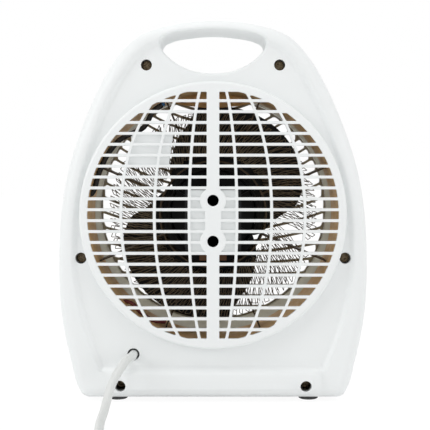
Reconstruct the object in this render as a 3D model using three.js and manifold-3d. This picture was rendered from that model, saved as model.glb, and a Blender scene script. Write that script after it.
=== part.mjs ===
// Portable fan heater with a carrying handle, in millimetres, +Z up, front towards -Y.
// Depths are measured forward from the crest of the rear rim, so a depth d lies at y = -d inside the assembly.
import * as THREE from 'three';
import { mergeVertices } from 'three/addons/utils/BufferGeometryUtils.js';
import Module from 'manifold-3d';

const wasm = await Module();
wasm.setup();

// Fits and facets
const fit = 0.3;
const overrun = 4;
const weld = 1e-4;
const bite = 0.1;
const ductSides = 36;
const knobSides = 18;
const rodSides = 8;
const screwSides = 8;
const sectionSides = 6;
const quarterSteps = 2;
const innerQuarterSteps = 1;

// Duct: its axis is also the axis of the motor and of the fan, and the casing is built round it
const footHeight = 2;
const baseRise = 39.9;
const ductRadius = 88;
const ductWall = 2;
const axisHeight = footHeight + baseRise + ductWall + ductRadius;

// Ring round the rear grille
const ringBand = 5.5;
const ringRadius = ductRadius + ringBand;
const ringCrestInset = 3;
const ringHeight = 4;
const ringShoulder = 2;

// Casing: the handle opening lies above the ring, and its bar closes the top
const sideMargin = 22;
const handleRise = 6.1;
const handleOpeningHeight = 30.8;
const handleBar = 8.3;
const handleBottom = axisHeight + ringRadius + handleRise;
const bodyWidth = 2 * (ductRadius + sideMargin);
const bodyHeight = handleBottom + handleOpeningHeight + handleBar - footHeight;
const wall = 2.5;

// Outline at the seam, seen from behind, as shares of the half width and of the height
const outlineShares = [
  [0, 1], [0.2, 0.994], [0.383, 0.977], [0.5, 0.955], [0.565, 0.931], [0.642, 0.891], [0.759, 0.805],
  [0.847, 0.72], [0.933, 0.612], [0.978, 0.515], [1, 0.37], [0.978, 0.205], [0.923, 0.098],
  [0.872, 0.026], [0.845, 0.008], [0.8, 0],
];
const outlineStepsPerPoint = 1;

// Rear cover
const seamDepth = 24;
const coverDraft = 1.2;
const rimRound = 8;
const rimWidth = 14;
const lowerRimExtra = 12;
const lowerRimTopShare = 0.35;
const panelDepth = 3;
const grilleThickness = 2.8;
const rollEndMargin = 38;
const rollHalfWidth = bodyWidth / 2 - rollEndMargin;
const rollTop = 24;
const rollBottom = 4;
const rollReach = 5;
const rollFlatShares = [0.3, 0.65];

// Grille openings, cut flat at the top and bottom
const grilleFlatInset = 2;
const grilleFlat = ductRadius - grilleFlatInset;
const slotPitch = 7.6;
const slotHeight = 5.55;
const ribHalfWidth = 4.4;
const ribWideHalfWidth = 5.6;
const meridianWidthShares = [0.194, 0.476, 0.747];
const meridianHeightShare = 1.214;
const meridianBarWidth = 2;
const meridianRowsPerStep = 3;

// Plates and bosses of the rear grille
const plateThickness = 2.2;
const motorPlateHalfWidth = 16;
const motorPlateTop = 17.6;
const motorPlateBottom = 26.4;
const motorBossRadius = 9.1;
const motorPostRadius = 5.5;
const motorPostEnd = 8.7;
const upperMountOffset = 10.2;
const lowerMountOffset = 18.3;
const mountHoleRadius = 4;
const mountSeatDepth = 5.5;
const sensorPlateMargin = 28.5;
const sensorPlateWidth = 31.5;
const sensorPlateRight = ductRadius - sensorPlateMargin;
const sensorPlateLeft = sensorPlateRight - sensorPlateWidth;
const sensorPlateSlant = 3;
const sensorPlateBottom = 34;
const sensorPlateTop = 56;
const linerThickness = 1;
const linerEnd = 46.7;
const skirtWall = 2;
const skirtEnd = 20;

// Handle opening, as shares of its half width and of its height
const handleHalfWidth = 37.5;
const handleWall = 2.2;
const handleSteps = 10;
const handleShares = [
  [0, 0], [0.43, 0.075], [0.71, 0.247], [0.88, 0.42], [0.985, 0.6], [1, 0.71], [0.95, 0.81],
  [0.85, 0.867], [0.43, 0.968], [0, 1],
];

// Front shell: depth of the front face, as shares of the height and of the full depth
const frontDepth = 104;
const frontShares = [[0, 0.97], [0.035, 1], [0.142, 1], [0.868, 0.625], [0.93, 0.53], [0.975, 0.44], [1, 0.36]];
const frontRound = 9;
const frontDraft = 2;
const faceRingShares = [0.78, 0.3];
const frontGrilleThickness = 3.5;
const frontRimWidth = 4;
const frontBarWidth = 3;
const frontBarPitch = 9.6;
const frontBarSag = 24;
const frontBarSteps = 4;
const frontRibWidth = 3.5;
const frontRibShares = [0];

// Screws of the casing: places as shares of the half width and of the height, mirrored left and right
const caseScrewShares = { top: [0.4264, 0.876], side: [0.8445, 0.3701], bottom: [0.5891, 0.0395] };
const screwHoleRadius = 3.9;
const screwBossRadius = 5.6;
const screwSeatDepth = 12;
const screwSeatWeb = 2.4;
const screwPostRadius = 4.6;
const caseScrew = { head: 3.3, headHeight: 2.2, shank: 1.6, length: 14, slot: 0.9, slotDepth: 1 };
const mountScrew = { head: 3.4, headHeight: 2, shank: 1.9, length: 6.8, slot: 1, slotDepth: 1 };
const tieScrew = { head: 3, headHeight: 1.8, shank: 1.5, length: 29.5 };
const clampScrew = { head: 2.6, headHeight: 1.6, shank: 1.2, length: 9 };

// Motor
const bracketThickness = 1.4;
const rearBracketDepth = 9;
const bracketHalfWidth = 20;
const bracketTop = 15;
const bracketBottom = 23;
const stackDepth = 17;
const stackLength = 14;
const stackHalfWidth = 20;
const stackTop = 18;
const stackBottom = 26;
const windowTop = 12;
const windowBottom = 19;
const windowHalfWidth = 10;
const coilOverhang = 4;
const coilBottom = 33;
const pillarRadius = 3.4;
const pillarOffset = 15.5;
const frontBracketDepth = 37;
const rotorRadius = 9.4;
const rotorGap = 0.6;
const shaftRadius = 2;
const shaftStart = 9.2;
const shaftEnd = 64;
const bearingRadius = 4.3;
const bearingFlangeRadius = 6;
const bearingFlange = 1.4;
const bearingLength = 4.1;

// Fan
const fanGap = 5;
const fanRadius = ductRadius - fanGap;
const fanStart = 45.5;
const fanLength = 15.5;
const fanCupRadius = 34;
const fanWall = 2;
const fanHubRadius = 6;
const bladeThickness = 1.8;
const bladeRows = 4;
const bladeColumns = 6;
const collarRadius = 5;
const collarLength = 2.4;
// Angles of the front and rear edge of a blade in degrees, seen from behind, at shares of its reach
const bladeReachShares = [0, 0.3, 0.55, 0.75, 1];
const frontEdgeAngles = [-17, -6, 0, 8, 18];
const rearEdgeAngles = [126, 121, 115, 110, 104];

// Heating element
const micaThickness = 1;
const heaterStart = 13;
const heaterEnd = 36;
const innerMicaRadius = 38.5;
const armCount = 8;
const wireRadius = 0.5;
const wireInnerMargin = 4.5;
const wireOuterMargin = 14;
const wireInnerRadius = innerMicaRadius + wireInnerMargin;
const wireOuterRadius = ductRadius - wireOuterMargin;
const wireLegs = 34;
const wireSpan = 342;
const wireTurnShare = 0.25;

// Sensor and leads
const cutoutRadius = 7;
const cutoutThickness = 5;
const cutoutShares = [0.778, 0.432];
const cutoutStem = 2.6;
const loomRadius = 2;
const loomAngle = 9;
const loomBendAngle = 2;
const loomInset = 3.4;
const loomTrack = ductRadius - loomInset;
const loomDepth = 9;
const loomEndAngle = 33;
const sleeveLength = 7;
const sleeveAngle = 56;
const leadRadius = 1.3;
const redLeadAngle = -51;
const redLeadSwing = 3;
const redLeadShares = [0.7, 0.2];
const redLeadDepth = 9;
const leadSteps = 10;

// Cord entry
const cordRadius = 3;
const cordPlace = [56, 33.7];
const cordHoleRadius = 4.2;
const cordInnerDepth = 19;
const shelfHalfWidth = 12;
const shelfThickness = 5.7;
const shelfEnd = 34;
const clampStart = 8;
const clampEnd = 16;
const clampHeight = 5.5;
const clampScrewOffset = 8.5;
const blockHalfWidth = 10;
const blockEnd = 32;
const blockRise = 8;

// Controls on the front, below the grille
const controlRise = 22;
const controlHeight = footHeight + controlRise;
const thermostatPlace = -44;
const selectorPlace = 44;
const controlBodyFront = frontDepth - wall - fit;
const thermostatBody = { halfWidth: 13, halfHeight: 9, length: 17 };
const selectorBody = { halfWidth: 14, halfHeight: 10.4, length: 22 };
const bushRadius = 4.6;
const bushReach = 3;
const bushEnd = frontDepth + bushReach;
const nutRadius = 7.5;
const nutThickness = 1.8;
const spindleRadius = 2.8;
const spindleSeat = 9.2;
const spindleStart = controlBodyFront - spindleSeat;
const spindleReach = 9;
const spindleEnd = frontDepth + spindleReach;
const knobRadius = 15;
const knobReach = 14;
const knobEnd = frontDepth + knobReach;
const knobWall = 2;
const knobFace = 3.5;
const knobHubRadius = 5.4;
const knobHubStart = bushEnd + 2 * fit;
const knobGripWidth = 3;
const knobGripHeight = 2;
const lensRadius = 4;
const lensFlange = 5.6;
const lensFlangeThickness = 1.4;
const lensReach = 1.6;
const lampRadius = 2.8;
const lampLength = 10;

// Feet
const footRadius = 7;
const footShares = [[0.62, 0.173], [0.6, 0.808]];

// Free cord: the middle line from inside the hole to the coil, as [x, depth, height] chosen by hand
const cordRoute = [
  [56, 19, 33.7], [56, 11, 33.7], [56, 3, 33.7], [56.4, -3, 33.7], [58.4, -9.5, 33], [61.8, -16, 29.8],
  [65.2, -22, 24.6], [68.4, -28, 18.2], [70.2, -35, 11.2], [71.2, -43.5, 5.7], [71.7, -53, 3.4],
  [71.4, -66, 3.1], [70.2, -82, 3.1], [68.6, -100, 3.1], [67.8, -120, 3.1], [67.6, -150, 3.1],
  [67.6, -184, 3.1], [67.6, -191, 3.1],
];
const cordSteps = 24;
const cordSides = 8;
const coilCentreDepth = -194;
const coilOuterRadius = 44.3;
const coilInnerRadius = 24;
const coilTurns = 6.25;
const coilStepsPerTurn = 16;
const coilLayerRise = 6.6;
const coilLift = 3.4;
const plugHeight = 26;
const plugWidth = 36;
const plugLength = 30;
const plugTail = 22;
const plugTailRadius = 4.6;
const pinRadius = 2.4;
const pinLength = 19;
const pinOffset = 9.5;

// Surfaces
const finishOf = (colour, roughness, metalness) => () =>
  new THREE.MeshStandardMaterial({ color: colour, roughness, metalness });
const whitePlastic = finishOf(0xeef0f1, 0.45, 0);
const tanMica = finishOf(0xb08a5e, 0.8, 0);
const brownMica = finishOf(0x6e5334, 0.8, 0);
const blackPlastic = finishOf(0x0c0c0e, 0.5, 0);
const steel = finishOf(0x9a9a9c, 0.35, 1);
const bronze = finishOf(0x4a3d2c, 0.5, 1);
const laminations = finishOf(0x2b2b2e, 0.6, 1);
const copper = finishOf(0x8a4b24, 0.45, 1);
const nichrome = finishOf(0x8f8678, 0.4, 1);
const brass = finishOf(0xb8923e, 0.35, 1);
const greyRubber = finishOf(0x3a3a3c, 0.9, 0);
const cordWhite = finishOf(0xd6d8d6, 0.55, 0);
const redLens = finishOf(0xb03020, 0.2, 0);
const redInsulation = finishOf(0x6e1f1c, 0.6, 0);
const blueInsulation = finishOf(0x1d5f94, 0.6, 0);
const ceramic = finishOf(0xd9d2c2, 0.6, 0);

// Solids: a closed geometry becomes a manifold with outward faces, and back
function signedVolume(positions, corners) {
  let volume = 0;
  const [a, b, c] = [new THREE.Vector3(), new THREE.Vector3(), new THREE.Vector3()];
  for (let i = 0; i < corners.length; i += 3) {
    a.fromBufferAttribute(positions, corners[i]);
    b.fromBufferAttribute(positions, corners[i + 1]);
    c.fromBufferAttribute(positions, corners[i + 2]);
    volume += a.dot(b.cross(c));
  }
  return volume;
}

function solid(geometry) {
  geometry.deleteAttribute('normal');
  geometry.deleteAttribute('uv');
  const merged = mergeVertices(geometry, weld);
  const corners = [];
  for (let i = 0; i < merged.index.count; i += 3) {
    const [a, b, c] = [merged.index.getX(i), merged.index.getX(i + 1), merged.index.getX(i + 2)];
    if (a !== b && b !== c && c !== a) corners.push(a, b, c);
  }
  if (signedVolume(merged.attributes.position, corners) < 0) corners.reverse();
  return new wasm.Manifold(new wasm.Mesh({
    numProp: 3,
    vertProperties: new Float32Array(merged.attributes.position.array),
    triVerts: new Uint32Array(corners),
  }));
}

function geometryOf(shape) {
  const mesh = shape.asOriginal().getMesh();
  const geometry = new THREE.BufferGeometry();
  geometry.setAttribute('position', new THREE.BufferAttribute(new Float32Array(mesh.vertProperties), 3));
  geometry.setIndex(new THREE.BufferAttribute(new Uint32Array(mesh.triVerts), 1));
  geometry.computeVertexNormals();
  return geometry;
}

const join = (first, ...others) => others.reduce((whole, next) => whole.add(next), first);
const cut = (first, ...others) => others.reduce((whole, next) => whole.subtract(next), first);

// Basic pieces, placed by x, depth and height
function block(left, right, start, end, bottom, top) {
  const geometry = new THREE.BoxGeometry(right - left, end - start, top - bottom);
  geometry.translate((left + right) / 2, -(start + end) / 2, (bottom + top) / 2);
  return solid(geometry);
}

function rod(radius, start, end, x = 0, height = 0, sides = rodSides) {
  const geometry = new THREE.CylinderGeometry(radius, radius, end - start, sides);
  geometry.translate(x, -(start + end) / 2, height);
  return solid(geometry);
}

function post(radius, bottom, top, x = 0, depth = 0, sides = rodSides) {
  const geometry = new THREE.CylinderGeometry(radius, radius, top - bottom, sides);
  geometry.rotateX(Math.PI / 2);
  geometry.translate(x, -depth, (bottom + top) / 2);
  return solid(geometry);
}

function sleeve(inner, outer, start, end, x = 0, height = 0, sides = rodSides) {
  return cut(rod(outer, start, end, x, height, sides), rod(inner, start - overrun, end + overrun, x, height, sides));
}

function plate(points, start, end) {
  const shape = new THREE.Shape(points.map(([x, height]) => new THREE.Vector2(x, height)));
  const geometry = new THREE.ExtrudeGeometry(shape, { depth: end - start, bevelEnabled: false });
  geometry.rotateX(Math.PI / 2);
  geometry.translate(0, -start, 0);
  return solid(geometry);
}

function turned(profile, sides) {
  const points = profile.map(([radius, depth]) => new THREE.Vector2(radius, -depth));
  return solid(new THREE.LatheGeometry(points, sides));
}

// A skin through rings of equal counts, closed by a fan to the middle of the first and last ring
function skin(rings) {
  const count = rings[0].length;
  const positions = rings.flat().flatMap((point) => point.toArray());
  const corners = [];
  for (let row = 0; row + 1 < rings.length; row += 1) {
    for (let i = 0; i < count; i += 1) {
      const next = (i + 1) % count;
      const [a, b] = [row * count + i, row * count + next];
      corners.push(a, b, b + count, a, b + count, a + count);
    }
  }
  [rings[0], rings[rings.length - 1]].forEach((ring, isLast) => {
    const middle = ring.reduce((sum, point) => sum.add(point), new THREE.Vector3()).divideScalar(count);
    const hub = positions.length / 3;
    positions.push(...middle.toArray());
    const base = isLast ? (rings.length - 1) * count : 0;
    for (let i = 0; i < count; i += 1) {
      const [a, b] = [base + i, base + ((i + 1) % count)];
      corners.push(...(isLast ? [a, b, hub] : [b, a, hub]));
    }
  });
  const geometry = new THREE.BufferGeometry();
  geometry.setAttribute('position', new THREE.Float32BufferAttribute(positions, 3));
  geometry.setIndex(corners);
  return solid(geometry);
}

// An unbroken tube through points, with flat ends, its section kept square to the given side
function tube(points, radius, sides, side) {
  const rings = points.map((point, i) => {
    const before = points[Math.max(i - 1, 0)];
    const after = points[Math.min(i + 1, points.length - 1)];
    const arriving = point.clone().sub(before).normalize();
    const leaving = after.clone().sub(point).normalize();
    const along = arriving.clone().add(leaving).normalize();
    const across = new THREE.Vector3().crossVectors(side, along).normalize();
    const other = new THREE.Vector3().crossVectors(along, across);
    const mitre = 1 / Math.max(along.dot(i ? arriving : leaving), Math.SQRT1_2);
    return Array.from({ length: sides }, (unused, k) => {
      const angle = ((k + 0.5) / sides) * 2 * Math.PI;
      return point.clone()
        .addScaledVector(across, radius * mitre * Math.cos(angle))
        .addScaledVector(other, radius * Math.sin(angle));
    });
  });
  return skin(rings);
}

// A smooth lead or cord of round section through points given as [x, depth, height]
function lead(points, radius, sides, steps) {
  const route = new THREE.CatmullRomCurve3(points.map(([x, depth, height]) => new THREE.Vector3(x, -depth, height)));
  const section = new THREE.Shape(Array.from({ length: sides }, (unused, k) => {
    const angle = ((k + 0.5) / sides) * 2 * Math.PI;
    return new THREE.Vector2(radius * Math.cos(angle), radius * Math.sin(angle));
  }));
  return solid(new THREE.ExtrudeGeometry(section, { steps, bevelEnabled: false, extrudePath: route }));
}

// Least gap between stretches of one tube that lie further apart along it than a few diameters
function leastGap(points, radius) {
  let least = Infinity;
  let walked = 0;
  const travel = points.map((point, i) => {
    walked += i ? point.distanceTo(points[i - 1]) : 0;
    return walked;
  });
  points.forEach((point, i) => {
    points.slice(0, i).forEach((other, j) => {
      if (travel[i] - travel[j] > radius * 2 * Math.PI) least = Math.min(least, point.distanceTo(other));
    });
  });
  return { gap: least - 2 * radius, length: walked };
}

// Outline of the casing, from the top centre down the right side and back up the left
const halfWidth = bodyWidth / 2;
const middleHeight = footHeight + bodyHeight / 2;

function outlinePoints() {
  const spline = new THREE.SplineCurve(outlineShares.map(([across, up]) =>
    new THREE.Vector2(across * halfWidth, footHeight + up * bodyHeight)));
  const right = spline.getPoints((outlineShares.length - 1) * outlineStepsPerPoint);
  right.forEach((point) => {
    point.y = Math.max(point.y, footHeight);
  });
  const left = right.slice(1).reverse().map((point) => new THREE.Vector2(-point.x, point.y));
  return [...right, new THREE.Vector2(0, footHeight), ...left];
}

const outline = outlinePoints();

// The outline drawn in by an inset, which widens on the lower part of the rear rim
function ringAt(inset, depthAt, lowerExtra = 0) {
  const lowerTop = footHeight + lowerRimTopShare * bodyHeight;
  return outline.map((point) => {
    const low = Math.max(0, (lowerTop - point.y) / (lowerTop - footHeight));
    const drawn = inset + lowerExtra * low;
    const x = point.x * (1 - drawn / halfWidth);
    const height = middleHeight + (point.y - middleHeight) * (1 - (2 * drawn) / bodyHeight);
    return new THREE.Vector3(x, -depthAt(height), height);
  });
}

const flatAt = (depth) => () => depth;

// Depth of the front face at a height
function frontAt(height) {
  const share = THREE.MathUtils.clamp((height - footHeight) / bodyHeight, 0, 1);
  const after = Math.max(1, frontShares.findIndex(([up]) => up >= share));
  const [[lowUp, lowDepth], [highUp, highDepth]] = [frontShares[after - 1], frontShares[after]];
  return frontDepth * THREE.MathUtils.mapLinear(share, lowUp, highUp, lowDepth, highDepth);
}

function quarter(steps) {
  return Array.from({ length: steps + 1 }, (unused, k) => (k / steps) * (Math.PI / 2));
}

// Rear cover, as an outer body less its inside
function coverBody(shrink, start) {
  const rim = quarter(shrink ? innerQuarterSteps : quarterSteps).map((angle) => ringAt(
    shrink + coverDraft + (rimRound - shrink) * (1 - Math.cos(angle)),
    flatAt(shrink + (rimRound - shrink) * (1 - Math.sin(angle))),
  ));
  return skin([
    ringAt(shrink, flatAt(start)),
    ...rim,
    ringAt(rimWidth - panelDepth - shrink / 2, flatAt(shrink), lowerRimExtra),
    ringAt(rimWidth, flatAt(panelDepth + shrink), lowerRimExtra),
  ]);
}

function handleOutline(growth) {
  const right = new THREE.SplineCurve(handleShares.map(([across, up]) =>
    new THREE.Vector2(across * handleHalfWidth, handleBottom + up * handleOpeningHeight))).getPoints(handleSteps);
  const ring = [...right, ...right.slice(1, -1).reverse().map((point) => new THREE.Vector2(-point.x, point.y))];
  const middle = handleBottom + handleOpeningHeight / 2;
  return ring.map((point) => [
    point.x * (1 + growth / handleHalfWidth),
    middle + (point.y - middle) * (1 + (2 * growth) / handleOpeningHeight),
  ]);
}

const caseScrewSpots = Object.entries(caseScrewShares).flatMap(([row, [across, up]]) => [1, -1].map((side) => ({
  name: `case_screw_${row}_${side > 0 ? 'left' : 'right'}`,
  x: side * across * halfWidth,
  height: footHeight + up * bodyHeight,
})));
const mountSpots = [
  { name: 'motor_screw_upper', height: axisHeight + upperMountOffset },
  { name: 'motor_screw_lower', height: axisHeight - lowerMountOffset },
];

const slabFront = grilleThickness - ringHeight;

// Bars that stay between the openings: meridians, central rib and the rings round the motor screws
function meridian(halfWidthAtAxis, side) {
  const steps = Math.ceil((2 * grilleFlat) / (meridianRowsPerStep * slotPitch));
  const edge = (offset) => Array.from({ length: steps + 1 }, (unused, k) => {
    const height = ((k - steps / 2) * meridianRowsPerStep + 0.5) * slotPitch;
    const x = halfWidthAtAxis * Math.sqrt(1 - (height / (meridianHeightShare * grilleFlat)) ** 2) + offset;
    return [side * x, axisHeight + height];
  });
  const points = [...edge(-meridianBarWidth / 2), ...edge(meridianBarWidth / 2).reverse()];
  return plate(points, -ringHeight - overrun, overrun);
}

function grilleOpenings() {
  const rows = Math.floor(grilleFlat / slotPitch);
  const slots = [];
  for (let row = -rows; row <= rows; row += 1) {
    const middle = axisHeight + row * slotPitch;
    const bottom = Math.max(middle - slotHeight / 2, axisHeight - grilleFlat);
    const top = Math.min(middle + slotHeight / 2, axisHeight + grilleFlat);
    slots.push(block(-ductRadius, ductRadius, -ringHeight - overrun, slabFront + bite, bottom, top));
  }
  const bars = meridianWidthShares.flatMap((share) => [1, -1].map((side) => meridian(share * grilleFlat, side)));
  const rib = block(-ribHalfWidth, ribHalfWidth, -ringHeight - overrun, overrun, axisHeight - ductRadius,
    axisHeight + ductRadius);
  const wideRib = block(-ribWideHalfWidth, ribWideHalfWidth, -ringHeight - overrun, overrun,
    axisHeight - lowerMountOffset, axisHeight + upperMountOffset);
  const rings = mountSpots.map(({ height }) =>
    rod(motorBossRadius, -ringHeight - overrun, overrun, 0, height, knobSides));
  const disc = rod(ductRadius, -ringHeight - overrun, overrun, 0, axisHeight, ductSides);
  return cut(join(...slots).intersect(disc), ...bars, rib, wideRib, ...rings);
}

function skirtNotch(angle, radius) {
  const turn = THREE.MathUtils.degToRad(angle);
  const geometry = new THREE.CylinderGeometry(radius, radius, 4 * overrun, screwSides);
  geometry.rotateZ(Math.PI / 2);
  geometry.rotateY(-turn);
  geometry.translate((ductRadius + overrun / 2) * Math.cos(turn), 0, (ductRadius + overrun / 2) * Math.sin(turn));
  return geometry;
}

function notchAt(angle, depth, radius) {
  const geometry = skirtNotch(angle, radius + 3 * fit);
  geometry.translate(0, -depth, axisHeight);
  return solid(geometry);
}

const loomNotch = () => notchAt(loomAngle, loomDepth, loomRadius);
const redNotch = () => notchAt(redLeadAngle, redLeadDepth, leadRadius);

function rearCover() {
  const dome = turned([
    [0, -ringHeight], [ringRadius - ringCrestInset, -ringHeight], [ringRadius, -ringHeight + ringShoulder],
    [ringRadius, panelDepth + wall], [0, panelDepth + wall],
  ], ductSides);
  const raised = dome.translate([0, 0, axisHeight]);
  const bandTop = rollTop - rollBottom;
  const rollSection = [
    [panelDepth + wall, rollTop], [panelDepth, rollTop], [-rollReach * rollFlatShares[1], rollTop - 0.2 * bandTop],
    [-rollReach, rollBottom + rollFlatShares[1] * bandTop], [-rollReach, rollBottom + rollFlatShares[0] * bandTop],
    [-rollReach * rollFlatShares[0], rollBottom], [panelDepth + wall, rollBottom],
  ];
  const roll = skin([rollHalfWidth, -rollHalfWidth].map((x) =>
    rollSection.map(([depth, height]) => new THREE.Vector3(x, -depth, height))));
  const outer = join(coverBody(0, seamDepth), raised, roll);

  const well = rod(ringRadius - wall, slabFront, panelDepth + 2 * wall, 0, axisHeight, ductSides);
  const inside = join(coverBody(wall, seamDepth + overrun), well);
  const kept = join(
    plate(handleOutline(handleWall), panelDepth, seamDepth),
    sleeve(ductRadius + linerThickness + fit, ductRadius + linerThickness + fit + skirtWall, slabFront, skirtEnd, 0,
      axisHeight, ductSides),
    motorPlate(),
    sensorPlate(),
    ...mountSpots.map(({ height }) => rod(motorPostRadius, slabFront, motorPostEnd, 0, height)),
    ...caseScrewSpots.map(({ x, height }) =>
      rod(screwBossRadius, panelDepth, screwSeatDepth + screwSeatWeb, x, height)),
    cordShelf(),
  );
  const holes = [
    plate(handleOutline(0), -rimRound, seamDepth + overrun),
    rod(cordHoleRadius, -overrun, panelDepth + wall + overrun, ...cordPlace, rodSides),
    ...mountSpots.flatMap(({ height }) => [
      rod(mountHoleRadius, -ringHeight - overrun, mountSeatDepth, 0, height),
      rod(mountScrew.shank + fit, mountSeatDepth - bite, motorPostEnd + overrun, 0, height, screwSides),
    ]),
    ...caseScrewSpots.flatMap(({ x, height }) => [
      rod(screwHoleRadius, -rollReach - overrun, screwSeatDepth, x, height),
      rod(caseScrew.shank + fit, screwSeatDepth - bite, seamDepth, x, height, screwSides),
    ]),
    ...clampScrewSpots().map(({ x, depth }) =>
      post(clampScrew.shank + fit, shelfTop - clampScrew.length, shelfTop + overrun, x, depth, screwSides)),
    loomNotch(),
    redNotch(),
    grilleOpenings(),
  ];
  return cut(outer, cut(inside, kept), ...holes);
}

function motorPlate() {
  return block(-motorPlateHalfWidth, motorPlateHalfWidth, slabFront, slabFront + plateThickness,
    axisHeight - motorPlateBottom, axisHeight + motorPlateTop);
}

function sensorPlate() {
  return plate([
    [sensorPlateLeft + sensorPlateSlant, axisHeight + sensorPlateBottom],
    [sensorPlateRight, axisHeight + sensorPlateBottom],
    [sensorPlateRight - sensorPlateSlant, axisHeight + sensorPlateTop],
    [sensorPlateLeft, axisHeight + sensorPlateTop],
  ], slabFront, slabFront + plateThickness);
}

// Shelf under the cord, its clamp and the terminal block
const [cordX, cordHeight] = cordPlace;
const shelfTop = cordHeight - cordRadius - fit;
const clampBottom = cordHeight + cordRadius + fit;

function cordShelf() {
  return block(cordX - shelfHalfWidth, cordX + shelfHalfWidth, panelDepth, shelfEnd, shelfTop - shelfThickness,
    shelfTop);
}

function clampScrewSpots() {
  const depth = (clampStart + clampEnd) / 2;
  return [
    { name: 'clamp_screw_left', x: cordX + clampScrewOffset, depth },
    { name: 'clamp_screw_right', x: cordX - clampScrewOffset, depth },
  ];
}

function cordClamp() {
  const bar = block(cordX - shelfHalfWidth, cordX + shelfHalfWidth, clampStart, clampEnd, clampBottom,
    clampBottom + clampHeight);
  const legs = clampScrewSpots().map(({ x, depth }) =>
    block(x - clampScrew.head, x + clampScrew.head, clampStart, clampEnd, shelfTop + fit, clampBottom + bite));
  const holes = clampScrewSpots().map(({ x, depth }) =>
    post(clampScrew.shank + fit, shelfTop, clampBottom + clampHeight + overrun, x, depth, screwSides));
  return cut(join(bar, ...legs), ...holes);
}

function terminalBlock() {
  const start = cordInnerDepth + fit;
  const body = block(cordX - blockHalfWidth, cordX + blockHalfWidth, start, blockEnd, shelfTop + fit,
    shelfTop + fit + blockRise);
  const wells = [-1, 1].map((side) => post(leadRadius * 2, shelfTop + fit + blockRise / 2,
    shelfTop + fit + blockRise + overrun, cordX + (side * blockHalfWidth) / 2, (start + blockEnd) / 2, screwSides));
  return cut(body, ...wells);
}

// Front shell
function shellBody(shrink, start) {
  const edge = (angle) => ringAt(
    frontDraft + shrink + (frontRound - shrink) * (1 - Math.cos(angle)),
    (height) => frontAt(height) - shrink - (frontRound - shrink) * (1 - Math.sin(angle)),
  );
  const face = faceRingShares.map((share) => {
    const rim = ringAt(frontDraft + frontRound, flatAt(0));
    return rim.map(({ x, z }) => {
      const height = middleHeight + (z - middleHeight) * share;
      return new THREE.Vector3(x * share, -(frontAt(height) - shrink), height);
    });
  });
  const steps = shrink ? innerQuarterSteps : quarterSteps;
  return skin([ringAt(shrink, flatAt(start)), ...quarter(steps).map(edge), ...face]);
}

function frontShell() {
  const outer = shellBody(0, seamDepth);
  const inside = shellBody(wall, seamDepth - overrun);
  const kept = join(
    plate(handleOutline(handleWall), seamDepth, frontDepth),
    sleeve(ductRadius, ductRadius + ductWall, linerEnd + fit, frontDepth + overrun, 0, axisHeight, ductSides),
    ...caseScrewSpots.map(({ x, height }) => rod(screwPostRadius, seamDepth, frontDepth, x, height)),
  );
  const sockets = caseScrewSpots.map(({ x, height }) =>
    rod(screwPostRadius, screwSeatDepth + screwSeatWeb + fit, seamDepth + bite, x, height));
  const holes = [
    plate(handleOutline(0), seamDepth - overrun, frontDepth + overrun),
    rod(ductRadius, seamDepth - overrun, frontDepth + 2 * overrun, 0, axisHeight, ductSides),
    ...caseScrewSpots.map(({ x, height }) =>
      rod(caseScrew.shank + fit, 0, screwSeatDepth + caseScrew.length + fit, x, height, screwSides)),
    ...[thermostatPlace, selectorPlace].map((x) =>
      rod(bushRadius + fit, frontDepth - 3 * wall, frontDepth + overrun, x, controlHeight)),
    rod(lensRadius + fit, frontDepth - 3 * wall, frontDepth + overrun, 0, controlHeight),
  ];
  return cut(join(cut(outer, cut(inside, kept)), ...sockets), ...holes);
}

// Front grille: a rim, arched bars and two upright ribs, leaning with the front face
function leaning(shape) {
  const slope = (frontAt(axisHeight) - frontAt(axisHeight + ductRadius)) / ductRadius;
  const mesh = shape.getMesh();
  const positions = new Float32Array(mesh.vertProperties);
  for (let i = 0; i < positions.length; i += 3) {
    positions[i + 1] += slope * (positions[i + 2] - axisHeight);
  }
  return new wasm.Manifold(new wasm.Mesh({ numProp: 3, vertProperties: positions, triVerts: mesh.triVerts }));
}

function archedBar(height) {
  const edge = (offset) => Array.from({ length: frontBarSteps + 1 }, (unused, k) => {
    const across = (2 * k) / frontBarSteps - 1;
    return [across * ductRadius, height + frontBarSag * across * across + offset];
  });
  return [...edge(-frontBarWidth / 2), ...edge(frontBarWidth / 2).reverse()];
}

function frontGrille() {
  const end = frontAt(axisHeight);
  const start = end - frontGrilleThickness;
  const outerRadius = ductRadius - fit;
  const rim = sleeve(outerRadius - frontRimWidth, outerRadius, start, end, 0, axisHeight, ductSides);
  const disc = rod(outerRadius - frontRimWidth / 2, start - overrun, end + overrun, 0, axisHeight, ductSides);
  const bars = [];
  for (let height = -ductRadius - frontBarSag; height < ductRadius; height += frontBarPitch) {
    bars.push(plate(archedBar(axisHeight + height), start, end));
  }
  const ribs = frontRibShares.map((share) => block(share * ductRadius - frontRibWidth / 2,
    share * ductRadius + frontRibWidth / 2, start, end, axisHeight - ductRadius, axisHeight + ductRadius));
  return leaning(join(rim, join(...bars, ...ribs).intersect(disc)));
}

// Duct liner: a band of mica with notches for the sensor wire and the red lead
function ductLiner() {
  const start = slabFront + fit;
  const band = sleeve(ductRadius, ductRadius + linerThickness, start, linerEnd, 0, axisHeight, ductSides);
  return cut(band, loomNotch(), redNotch());
}

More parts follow.
